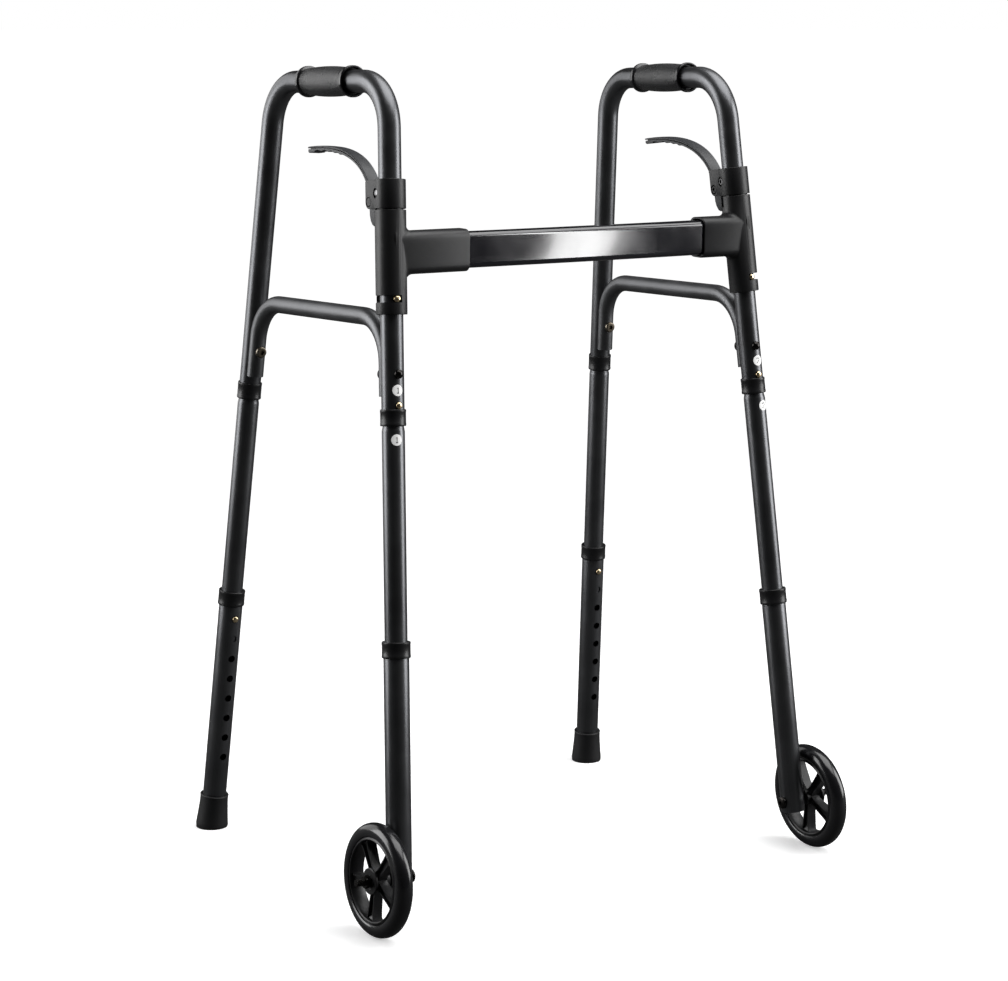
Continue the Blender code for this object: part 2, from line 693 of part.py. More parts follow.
def build_lever(front, name, finish):
    """The release lever, with its origin on its pivot."""
    py, pz = LEVER_PIVOT
    lever = front.place(name, prism(lever_outline(), -LEVER_HALF, LEVER_HALF), finish, (0, py, pz))
    front.cut(lever, hole((-0.02, py, pz), (0.02, py, pz), PIN_R + GAP))
    front.cut(lever, rod((-0.0027, py, pz), (0.0027, py, pz), 0.0043, 10))
    low, high = 0.7864, 0.7946
    front.cut(lever, box((-TOOTH_HALF, GROOVE_R + 0.0006, low), (TOOTH_HALF, 0.0210, high)), "UNION")
    front.cut(lever, box((-0.0020, py + 0.0010, pz - 0.0020), (0.0020, py + 0.02, pz + 0.0020)))
    return lever


def build_lever_spring(front, name, finish):
    """The torsion spring round the lever's pin."""
    py, pz = LEVER_PIVOT
    turns, coil, pitch, wire = 2.75, 0.0033, 0.0013, 0.0005
    steps = 8
    count = int(turns * steps)
    route = []
    for k in range(count + 1):
        a = math.tau * k / steps
        route.append(Vector((pitch * (k / steps - turns / 2), py + coil * math.cos(a), pz + coil * math.sin(a))))
    rings, ways = [], [b - a for a, b in zip(route, route[1:])]
    ways = [ways[0], *(a + b for a, b in zip(ways, ways[1:])), ways[-1]]
    for point, way in zip(route, ways):
        way = way.normalized()
        out = (point - Vector((point.x, py, pz))).normalized()
        out = (out - way * out.dot(way)).normalized()
        up = way.cross(out)
        turns_round = [math.tau * j / 5 for j in range(5)]
        rings.append([point + (out * math.cos(t) + up * math.sin(t)) * wire for t in turns_round])
    return front.place(name, loft(rings), finish)


def tread_outline():
    """Section of the tyre: flat sides and a round tread."""
    inner, shoulder = TYRE_SEAT_R + GAP, 0.0070
    half = [(inner, -0.0100), (inner + 0.0040, -TYRE_HALF)]
    for turn in (math.radians(20), math.radians(75)):
        across = -TYRE_HALF + shoulder - shoulder * math.cos(turn)
        half.append((WHEEL_R - shoulder + shoulder * math.sin(turn), across))
    return half + [(r, -x) for r, x in reversed(half)]


def wheel_axle_high(front):
    """How far up the front leg the axle is, so that the tyre just meets the floor."""
    outward = front.matrix.to_3x3() @ Vector((front.side, 0, 0))
    steep = math.sqrt(1 - outward.z**2)
    below = max(r * steep + abs(x * outward.z) for r, x in tread_outline())
    return (below - WHEEL_OFFSET * outward.z) / front.matrix[2][2]


def build_wheel(front, side_name, high, finishes):
    """Five-spoke wheel and its tyre, with their origins on the axle."""
    plastic, rubber = finishes
    centre = (WHEEL_OFFSET, 0, high)
    out = (1, 0, 0)
    hub = [
        (AXLE_R + GAP, -0.0110),
        (HUB_BARREL_R, -0.0110),
        (HUB_BARREL_R + 0.0010, 0.0060),
        (HUB_DISC_R, 0.0082),
        (HUB_DISC_R, 0.0110),
        (AXLE_R + GAP, 0.0110),
    ]
    wheel = front.place(side_name + "_wheel", turned(hub, 14, centre, out), plastic, centre)
    seat = TYRE_SEAT_R
    rim = [(RIM_R, -0.0065), (RIM_R + 0.0016, -0.0098), (seat, -0.0098)]
    rim += [(r, -x) for r, x in reversed(rim)]
    front.cut(wheel, turned(rim, 28, centre, out), "UNION")
    blades = bmesh.new()
    for k in range(SPOKES):
        turn = Matrix.Rotation(math.tau * k / SPOKES + math.radians(18), 3, "X")
        rings = []
        for r, width, thick in ((0.0072, 0.0074, 0.0160), (RIM_R + 0.0018, 0.0120, 0.0110)):
            corners = ((-thick / 2, -width / 2), (thick / 2, -width / 2), (thick / 2, width / 2), (-thick / 2, width / 2))
            rings.append([Vector(centre) + turn @ Vector((a, b, r)) for a, b in corners])
        add(blades, loft(rings))
    front.cut(wheel, blades, "UNION")

    front.place(side_name + "_tyre", turned(tread_outline(), 28, centre, out), rubber, centre)


def build_axle(front, side_name, high, lower_tube, finish):
    """The axle bolt through the leg, and its nut outside the hub."""
    reach = LOWER_R + GAP
    bolt = [
        (0, -reach - 0.0042),
        (0.0045, -reach - 0.0036),
        (0.0066, -reach - 0.0012),
        (0.0066, -reach),
        (AXLE_R, -reach),
        (AXLE_R, AXLE_END - 0.0010),
        (AXLE_R - 0.0010, AXLE_END),
        (0, AXLE_END),
    ]
    front.place(side_name + "_axle_bolt", turned(bolt, 8, (0, 0, high), (1, 0, 0)), finish)
    front.cut(lower_tube, hole((-0.03, 0, high), (0.03, 0, high), AXLE_R + GAP))
    start = WHEEL_OFFSET + 0.0110 + GAP
    stop = start + 0.0065
    bore, hexagon = (AXLE_R + GAP) / math.cos(math.pi / 6), NUT_FLATS / math.sqrt(3)
    outline = [(bore, start), (hexagon, start), (hexagon, stop), (bore, stop)]
    nut = front.place(side_name + "_axle_nut", turned(outline, 6, (0, 0, high), (1, 0, 0)), finish, sharp=30)
    return nut


def build_tip(rear, side_name, finish):
    """The flared rubber tip, its sole ground level with the floor."""
    bore = LOWER_R + GAP
    outline = [(0, -0.006), (TIP_FOOT_R, -0.006), (TIP_FOOT_R, 0.0060)]
    for k in range(4):
        flare = (TIP_FOOT_R - 0.0008 - TIP_TOP_R) * (1 - k / 3) ** 1.6
        outline.append((TIP_TOP_R + flare, 0.0080 + 0.0250 * k / 3))
    outline += [(TIP_TOP_R, TIP_HIGH - 0.0010), (TIP_TOP_R - 0.0010, TIP_HIGH), (bore, TIP_HIGH)]
    outline += [(bore, REAR_LEG_LOW - GAP), (0, REAR_LEG_LOW - GAP)]
    bm = turned(outline, 16)
    mirror_for(bm, rear.side)
    into = rear.matrix.inverted()
    floor, up = into @ Vector((0, 0, 0)), into.to_3x3() @ Vector((0, 0, 1))
    cut = bmesh.ops.bisect_plane(
        bm, geom=[*bm.verts, *bm.edges, *bm.faces], dist=1e-7, plane_co=floor, plane_no=up, clear_inner=True
    )
    edges = [e for e in cut["geom_cut"] if isinstance(e, bmesh.types.BMEdge)]
    bmesh.ops.edgeloop_fill(bm, edges=edges)
    return mesh_object(side_name + "_tip", bm, finish, rear.empty)


def build_side(side_name, finishes):
    """All the pieces of one side frame, and its hinge housing."""
    side = SIDES[side_name]
    front_matrix = leg_frame(side, FRONT_FOOT, FRONT_SPLAY, FRONT_LEAN, REAR_FOOT, REAR_LEAN, REAR_SPLAY)
    rear_matrix = leg_frame(side, REAR_FOOT, REAR_SPLAY, REAR_LEAN, FRONT_FOOT, FRONT_LEAN, FRONT_SPLAY)
    front = Leg(side_name + "_front_leg", side, front_matrix, False)
    rear = Leg(side_name + "_rear_leg", side, rear_matrix, True)
    rise = SOCKET_Z / front_matrix[2][2]
    crossing = front.point(0, rise)
    leg_x, leg_y = abs(crossing.x), crossing.y

    prefix = side_name + "_"
    build_housing(front, side_name, side, leg_x, leg_y, finishes["housing"])
    build_frame_tube(front, rear, prefix + "frame_tube", finishes["tube"])
    build_grip(front, rear, prefix + "grip", finishes["foam"])
    build_brace(front, rear, prefix + "brace", finishes["brace"])
    build_brace_bolt(front, prefix + "brace_bolt_front", FRONT_BOLT_HIGH, 1, finishes["steel"])
    build_brace_bolt(rear, prefix + "brace_bolt_rear", REAR_BOLT_HIGH, -1, finishes["steel"])
    build_collar(front, prefix + "trigger_collar", finishes["housing"])
    build_lever(front, prefix + "trigger_lever", finishes["lever"])
    build_pin(front, prefix + "lever_pin", LEVER_PIVOT, CHEEK_HALF, finishes["steel"])
    build_pin(front, prefix + "collar_rivet", COLLAR_RIVET, COLLAR_RIVET_HALF, finishes["steel"])
    build_lever_spring(front, prefix + "lever_spring", finishes["steel"])
    make_button(front, prefix + "fold_button", FOLD_BUTTON_HIGH, FOLD_BUTTON_TURN, SLEEVE_R, finishes["brass"])

    shared = (finishes["tube"], finishes["ring"], finishes["brass"])
    lower = build_leg_sections(
        front, prefix + "front", FRONT_UPPER_RING, FRONT_LOWER_RING, FRONT_LEG_LOW, math.pi, shared
    )
    build_leg_sections(rear, prefix + "rear", REAR_UPPER_RING, REAR_LOWER_RING, REAR_LEG_LOW, 0, shared)
    high = wheel_axle_high(front)
    build_wheel(front, side_name, high, (finishes["hub"], finishes["tyre"]))
    build_axle(front, side_name, high, lower, finishes["steel"])
    build_tip(rear, side_name, finishes["rubber"])
    return leg_y


def main():
    """Builds the whole frame."""
    clear_scene()
    finishes = {
        "tube": material("anodised_tube", (0.055, 0.058, 0.062), 0.34, 0.85),
        "brace": material("anodised_brace", (0.13, 0.135, 0.14), 0.40, 0.85),
        "bar": material("gloss_black_bar", (0.006, 0.006, 0.008), 0.12, 0.2),
        "housing": material("moulded_black", (0.018, 0.018, 0.020), 0.50),
        "lever": material("lever_grey", (0.045, 0.046, 0.048), 0.45),
        "foam": material("grip_foam", (0.022, 0.022, 0.024), 0.70),
        "ring": material("ring_black", (0.012, 0.012, 0.013), 0.42),
        "brass": material("brass_button", (0.55, 0.38, 0.14), 0.25, 1.0),
        "steel": material("dark_fastener", (0.10, 0.09, 0.08), 0.35, 0.9),
        "hub": material("wheel_nylon", (0.012, 0.012, 0.013), 0.38),
        "tyre": material("tyre_black", (0.010, 0.010, 0.011), 0.30),
        "rubber": material("tip_rubber", (0.016, 0.016, 0.017), 0.60),
    }
    for side_name in SIDES:
        leg_y = build_side(side_name, finishes)
    build_crossbar(leg_y, finishes["bar"])


main()
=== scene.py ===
"""Looks of a folding walking frame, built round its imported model.

Metres, +Z up. The user stands on the +Y side, and the right side frame is at -X. Each leg has a
frame of its own, taken from the record's joints: +Z runs up the leg, +Y goes from the front leg
towards the rear leg, and +X goes to the user's left. Shapes are made outward along +X, and are
mirrored for the right side.
"""

from __future__ import annotations

import enum
import functools
import json
import logging
import math
from collections.abc import Sequence
from dataclasses import dataclass, field, replace

import bmesh
import bpy
from mathutils import Matrix, Vector

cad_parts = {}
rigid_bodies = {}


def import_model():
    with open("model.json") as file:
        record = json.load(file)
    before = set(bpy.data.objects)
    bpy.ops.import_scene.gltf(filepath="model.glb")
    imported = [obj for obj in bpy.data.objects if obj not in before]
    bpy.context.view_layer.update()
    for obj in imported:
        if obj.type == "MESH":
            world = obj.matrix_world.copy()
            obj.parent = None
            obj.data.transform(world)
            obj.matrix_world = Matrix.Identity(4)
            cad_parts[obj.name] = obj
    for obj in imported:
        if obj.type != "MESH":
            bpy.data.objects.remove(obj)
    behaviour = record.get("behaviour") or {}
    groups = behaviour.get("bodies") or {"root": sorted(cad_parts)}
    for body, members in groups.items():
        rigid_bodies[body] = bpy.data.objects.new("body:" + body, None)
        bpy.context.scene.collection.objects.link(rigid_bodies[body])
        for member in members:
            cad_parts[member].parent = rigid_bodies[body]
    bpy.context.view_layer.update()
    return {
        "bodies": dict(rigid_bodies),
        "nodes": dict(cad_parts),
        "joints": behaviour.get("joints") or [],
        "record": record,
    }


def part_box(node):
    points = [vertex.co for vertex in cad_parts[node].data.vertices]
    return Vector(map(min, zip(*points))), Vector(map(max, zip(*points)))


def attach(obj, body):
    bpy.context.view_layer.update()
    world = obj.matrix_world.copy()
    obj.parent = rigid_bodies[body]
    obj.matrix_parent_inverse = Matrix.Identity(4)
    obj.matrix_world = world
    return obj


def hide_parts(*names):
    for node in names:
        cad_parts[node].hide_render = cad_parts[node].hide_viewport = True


LOG = logging.getLogger("walking_frame")
Point = tuple[float, float, float]
Profile = list[tuple[float, float]]
BMesh = bmesh.types.BMesh
Node = bpy.types.Node
Socket = bpy.types.NodeSocket
Tree = bpy.types.NodeTree

TINY = 1e-9
WELD = 2e-6
EDGE_ANGLE = math.radians(50)
SHARP_ANGLE = math.radians(32)


class Side(enum.Enum):
    """The side of the user's body, and its sign along X."""

    RIGHT = -1
    LEFT = 1

    @property
    def label(self) -> str:
        """The side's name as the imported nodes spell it."""
        return self.name.lower()


class Operation(enum.Enum):
    """How a second solid changes the first one."""

    CUT = "DIFFERENCE"
    JOIN = "UNION"


class Facing(enum.Enum):
    """Directions round a leg, as angles from its front towards its outer side."""

    FRONT = 0.0
    REAR = math.pi


# ------------------------------------------------------------------------------
# Mesh work
# ------------------------------------------------------------------------------


def turned(profile: Profile, steps: int, centre: Point = (0, 0, 0), axis: Point = (0, 0, 1)) -> BMesh:
    """Revolves a closed outline about an axis.

    Args:
        profile: (radius, height) points of the outline, in order.
        steps: Facets round the axis.
        centre: Where height 0 lies.
        axis: The direction of height.

    Returns:
        The closed mesh.
    """
    bm = bmesh.new()
    turn = Vector((0, 0, 1)).rotation_difference(Vector(axis)).to_matrix().to_4x4()
    placed = Matrix.Translation(centre) @ turn
    rings = []
    for radius, height in profile:
        count = steps if radius > TINY else 1
        angles = [math.tau * k / steps for k in range(count)]
        spots = [Vector((radius * math.cos(a), radius * math.sin(a), height)) for a in angles]
        rings.append([bm.verts.new(placed @ spot) for spot in spots])
    for low, high in zip(rings, rings[1:] + rings[:1]):
        for k in range(steps):
            j = k + 1
            quad = [low[k % len(low)], low[j % len(low)], high[j % len(high)], high[k % len(high)]]
            corners = list(dict.fromkeys(quad))
            if len(corners) > 2:
                bm.faces.new(corners)
    bmesh.ops.recalc_face_normals(bm, faces=bm.faces)
    return bm


def sleeve(inner: float, outer: float, low: float, high: float) -> Profile:
    """Half section of a plain sleeve, or of a solid rod where the inner radius is 0."""
    return [(inner, low), (outer, low), (outer, high), (inner, high)]


def rod(start: Sequence[float], end: Sequence[float], radius: float, steps: int = 24) -> BMesh:
    """A plain round rod between two points, used as a cutter.

    Args:
        start: The middle of its first end.
        end: The middle of its other end.
        radius: Its radius.
        steps: Facets round it.

    Returns:
        The closed mesh.
    """
    start, end = Vector(start), Vector(end)
    return turned(sleeve(0, radius, 0, (end - start).length), steps, start, end - start)


def loft(rings: Sequence[Sequence[Vector]], holes: Sequence[Sequence[Vector]] | None = None) -> BMesh:
    """Skins rings of equally many points.

    Args:
        rings: The sections, in order.
        holes: Sections of an inner wall. With none, the ends are capped flat.

    Returns:
        The closed mesh.
    """
    bm = bmesh.new()

    def skin(sections: Sequence[Sequence[Vector]]) -> tuple[list, list]:
        loops = [[bm.verts.new(p) for p in ring] for ring in sections]
        for a, b in zip(loops, loops[1:]):
            for i in range(len(a)):
                j = (i + 1) % len(a)
                bm.faces.new((a[i], a[j], b[j], b[i]))
        return loops[0], loops[-1]

    first, last = skin(rings)
    if holes is None:
        bm.faces.new(first)
        bm.faces.new(last)
    else:
        for outer, inner in zip((first, last), skin(holes)):
            for i in range(len(outer)):
                j = (i + 1) % len(outer)
                bm.faces.new((outer[i], outer[j], inner[j], inner[i]))
    bmesh.ops.recalc_face_normals(bm, faces=bm.faces)
    return bm


def prism(outline: Sequence[tuple[float, float]], low: float, high: float) -> BMesh:
    """Extrudes a closed outline of (y, z) points along X."""
    return loft([[Vector((x, a, b)) for a, b in outline] for x in (low, high)])


def box(low: Point, high: Point) -> BMesh:
    """A block between two corners."""
    return prism(sleeve(low[1], high[1], low[2], high[2]), low[0], high[0])


def mirrored(bm: BMesh) -> BMesh:
    """Mirrors a mesh along X.

    Args:
        bm: The mesh.

    Returns:
        The same mesh, with its faces turned outward again.
    """
    bmesh.ops.scale(bm, vec=(-1, 1, 1), verts=bm.verts)
    bmesh.ops.recalc_face_normals(bm, faces=bm.faces)
    return bm


def joined(*meshes: BMesh) -> BMesh:
    """Puts several meshes into the first one, and frees the others.

    Args:
        meshes: The meshes.

    Returns:
        The first mesh.
    """
    base = meshes[0]
    for other in meshes[1:]:
        mesh = bpy.data.meshes.new("step")
        other.to_mesh(mesh)
        other.free()
        base.from_mesh(mesh)
        bpy.data.meshes.remove(mesh)
    return base


def combined(base: BMesh, tool: BMesh, operation: Operation = Operation.CUT) -> BMesh:
    """Cuts one solid with another, or joins them, and frees both.

    Args:
        base: The solid that is worked on.
        tool: The solid that cuts it or is joined to it.
        operation: What the tool does.

    Returns:
        The new solid.
    """
    objects = []
    for bm in (base, tool):
        mesh = bpy.data.meshes.new("step")
        bm.to_mesh(mesh)
        bm.free()
        obj = bpy.data.objects.new("step", mesh)
        bpy.context.scene.collection.objects.link(obj)
        objects.append(obj)
    step = objects[0].modifiers.new("step", "BOOLEAN")
    step.operation, step.solver, step.object = operation.value, "EXACT", objects[1]
    made = bmesh.new()
    made.from_object(objects[0], bpy.context.evaluated_depsgraph_get())
    for obj in objects:
        mesh = obj.data
        bpy.data.objects.remove(obj)
        bpy.data.meshes.remove(mesh)
    bmesh.ops.remove_doubles(made, verts=made.verts, dist=WELD)
    bmesh.ops.dissolve_degenerate(made, edges=made.edges, dist=WELD)
    return made


def eased(bm: BMesh, width: float) -> BMesh:
    """Rounds the sharp edges of a solid, in two steps.

    Args:
        bm: The solid.
        width: Width of the rounding.

    Returns:
        The same mesh.
    """
    edges = [e for e in bm.edges if len(e.link_faces) == 2 and e.calc_face_angle(0) > EDGE_ANGLE]
    bmesh.ops.bevel(
        bm, geom=edges, offset=width, segments=2, profile=0.5, affect="EDGES", clamp_overlap=True
    )
    return bm


def filleted(corners: Sequence[Sequence[float]], radius: float, steps: int) -> list[Vector]:
    """A route through corner points, with each inner corner rounded.

    Args:
        corners: The route's ends and corners.
        radius: Radius of each bend.
        steps: Stretches in each bend.

    Returns:
        The points of the route.
    """
    route = [Vector(corners[0])]
    for before, corner, after in zip(corners, corners[1:], corners[2:]):
        corner = Vector(corner)
        u, v = (Vector(before) - corner).normalized(), (Vector(after) - corner).normalized()
        half = u.angle(v) / 2
        reach = radius / math.tan(half)
        middle = corner + (u + v).normalized() * (radius / math.sin(half))
        start, stop = corner + u * reach - middle, corner + v * reach - middle
        axis, angle = start.cross(stop), start.angle(stop)
        for k in range(steps + 1):
            route.append(middle + Matrix.Rotation(angle * k / steps, 3, axis) @ start)
    return [*route, Vector(corners[-1])]


def tube_along(route: Sequence[Vector], outer: float, inner: float, sides: int) -> BMesh:
    """A hollow round tube along a route, kept from twisting.

    Args:
        route: Points of the middle line.
        outer: Outer radius.
        inner: Bore radius, or 0 for a solid rod.
        sides: Facets round the tube.

    Returns:
        The closed mesh.
    """
    ways = [(b - a).normalized() for a, b in zip(route, route[1:])]
    ways = [ways[0], *((a + b).normalized() for a, b in zip(ways, ways[1:])), ways[-1]]
    across = ways[0].orthogonal().normalized()
    angles = [math.tau * k / sides for k in range(sides)]
    rings, holes = [], []
    for point, way in zip(route, ways):
        across = (across - way * across.dot(way)).normalized()
        up = way.cross(across)
        for radius, kept in ((outer, rings), (inner, holes)):
            kept.append([point + (across * math.cos(t) + up * math.sin(t)) * radius for t in angles])
    return loft(rings, holes if inner else None)


def arc(centre: tuple[float, float], radius: float, start: float, stop: float, steps: int) -> Profile:
    """Points of a circle's arc, with angles in degrees."""
    turns = [math.radians(start + (stop - start) * k / steps) for k in range(steps + 1)]
    return [(centre[0] + radius * math.cos(t), centre[1] + radius * math.sin(t)) for t in turns]


def rounded_rect(width: float, height: float, radius: float, fill: int = 1) -> Profile:
    """Outline of a rectangle with round corners of eight stretches each.

    Args:
        width: Its first size.
        height: Its second size.
        radius: Radius of the corners.
        fill: Stretches along each straight side.

    Returns:
        The points, anticlockwise about the middle.
    """
    points: Profile = []
    for quarter, (sx, sy) in enumerate(((1, 1), (-1, 1), (-1, -1), (1, -1))):
        middle = (sx * (width / 2 - radius), sy * (height / 2 - radius))
        points += arc(middle, radius, 90 * quarter, 90 * quarter + 90, 8)
        straight = (height if quarter % 2 else width) - 2 * radius
        way = math.radians(90 * quarter + 180)
        a, b = points[-1]
        for k in range(1, fill):
            run = straight * k / fill
            points.append((a + math.cos(way) * run, b + math.sin(way) * run))
    return points


def outward(outline: Profile) -> Profile:
    """Finds which way is out at each point of an anticlockwise outline.

    Args:
        outline: The closed outline.

    Returns:
        A unit direction for each point.
    """
    ways: Profile = []
    for before, after in zip(outline[-1:] + outline[:-1], outline[1:] + outline[:1]):
        run = Vector((after[0] - before[0], after[1] - before[1])).normalized()
        ways.append((run.y, -run.x))
    return ways


def softened(outline: Profile, width: float, steps: int = 3) -> Profile:
    """Rounds the corners of a closed outline that lie off its axis.

    Args:
        outline: The closed outline.
        width: How far from each corner the rounding starts, or less where a side is short.
        steps: Stretches in each rounding.

    Returns:
        The new outline.
    """
    made: Profile = []
    count = len(outline)
    for k in range(count):
        before, corner, after = (Vector((*outline[(k + d) % count], 0)) for d in (-1, 0, 1))
        u, v = before - corner, after - corner
        if min(u.length, v.length, abs(corner.x)) < TINY:
            made.append((corner.x, corner.y))
            continue
        reach = min(width, u.length * 0.45, v.length * 0.45)
        a, b = corner + u.normalized() * reach, corner + v.normalized() * reach
        for i in range(steps + 1):
            t = i / steps
            p = a * (1 - t) ** 2 + corner * 2 * t * (1 - t) + b * t * t
            made.append((p.x, p.y))
    return made


def polar(angle: float, radius: float = 1.0) -> Vector:
    """A point round a leg's axis, at an angle from its front towards its outer side."""
    return Vector((math.sin(angle) * radius, -math.cos(angle) * radius, 0))


def sector(inner: float, outer: float, low: float, high: float, start: float, stop: float) -> BMesh:
    """A block of a ring round a leg's axis.

    Args:
        inner: Inner radius.
        outer: Outer radius.
        low: Lower end along the axis.
        high: Upper end along the axis.
        start: First angle from the front.
        stop: Last angle from the front.

    Returns:
        The closed mesh.
    """
    rings, steps = [], 32
    for k in range(steps + 1):
        turn = start + (stop - start) * k / steps
        rings.append([polar(turn, r) + Vector((0, 0, z)) for r, z in sleeve(inner, outer, low, high)])
    return loft(rings)


# ------------------------------------------------------------------------------
# Finishes
# ------------------------------------------------------------------------------


class NodeSheet:
    """A node tree that is written one node at a time."""

    def __init__(self, tree: Tree) -> None:
        """Starts an empty sheet on a tree."""
        self.tree = tree
        tree.nodes.clear()

    def add(self, kind: str, settings: dict | None = None, **inputs: object) -> Node:
        """Adds a node.

        Args:
            kind: The node's type, without its ShaderNode prefix.
            settings: Properties of the node itself.
            inputs: Values or sockets for its inputs, by name, with underscores for spaces.

        Returns:
            The node.
        """
        prefix = "" if kind.startswith("NodeGroup") else "ShaderNode"
        node = self.tree.nodes.new(prefix + kind)
        for key, value in (settings or {}).items():
            setattr(node, key, value)
        for key, value in inputs.items():
            self.feed(node.inputs[key.replace("_", " ")], value)
        return node

    def feed(self, socket: Socket, value: object) -> None:
        """Links a socket to an input, or sets the input's value.

        Args:
            socket: The input.
            value: A socket, a number, a vector or a colour without its alpha.
        """
        if isinstance(value, Socket):
            self.tree.links.new(value, socket)
        elif isinstance(value, (tuple, list)) and len(value) == 3 and socket.type == "RGBA":
            socket.default_value = (*value, 1.0)
        else:
            socket.default_value = value

    def chain(self, kind: str, settings: dict, places: Sequence[int], *values: object) -> Node:
        """Adds a node whose inputs are fed by their places instead of by name.

        Args:
            kind: The node's type, without its ShaderNode prefix.
            settings: Properties of the node itself.
            places: Places of the inputs.
            values: A value or socket for each place.

        Returns:
            The node.
        """
        node = self.add(kind, settings)
        for place, value in zip(places, values):
            self.feed(node.inputs[place], value)
        return node

    def math(self, operation: str, *values: object) -> Socket:
        """A sum on numbers, whose result is returned as a socket."""
        return self.chain("Math", {"operation": operation}, range(len(values)), *values).outputs[0]

    def vector(self, operation: str, *values: object) -> Node:
        """A sum on vectors, returned as its node."""
        return self.chain("VectorMath", {"operation": operation}, range(len(values)), *values)

    def plus(self, base: object, other: object, share: float) -> Socket:
        """Adds a share of one number to another."""
        return self.math("ADD", base, self.math("MULTIPLY", other, share))

    def spread(self, value: object, low: float, high: float, to_low: float, to_high: float) -> Socket:
        """Maps one range of a number onto another, held at both ends."""
        ends = {"From_Min": low, "From_Max": high, "To_Min": to_low, "To_Max": to_high}
        return self.add("MapRange", Value=value, **ends).outputs[0]

    def blend(self, factor: object, first: object, second: object) -> Socket:
        """Mixes two colours by a factor."""
        return self.chain("Mix", {"data_type": "RGBA"}, (0, 6, 7), factor, first, second).outputs[2]

    def noise(self, place: Socket, scale: object, detail: float, roughness: float = 0.5) -> Socket:
        """A noise over a place, as a number from 0 to 1."""
        return self.add("TexNoise", Vector=place, Scale=scale, Detail=detail, Roughness=roughness).outputs[0]

    def cells(self, place: Socket, scale: object) -> Socket:
        """Distance to the nearest border between scattered cells."""
        node = self.add("TexVoronoi", {"feature": "DISTANCE_TO_EDGE"}, Vector=place, Scale=scale)
        return node.outputs["Distance"]

    def wavered(self, place: Socket, scale: float, reach: float) -> Socket:
        """A place that wanders about by a noise.

        Args:
            place: The place.
            scale: Scale of the noise.
            reach: How far it wanders.

        Returns:
            The new place.
        """
        noise = self.add("TexNoise", Vector=place, Scale=scale, Detail=2.0)
        return self.vector("MULTIPLY_ADD", noise.outputs["Color"], (reach,) * 3, place).outputs[0]


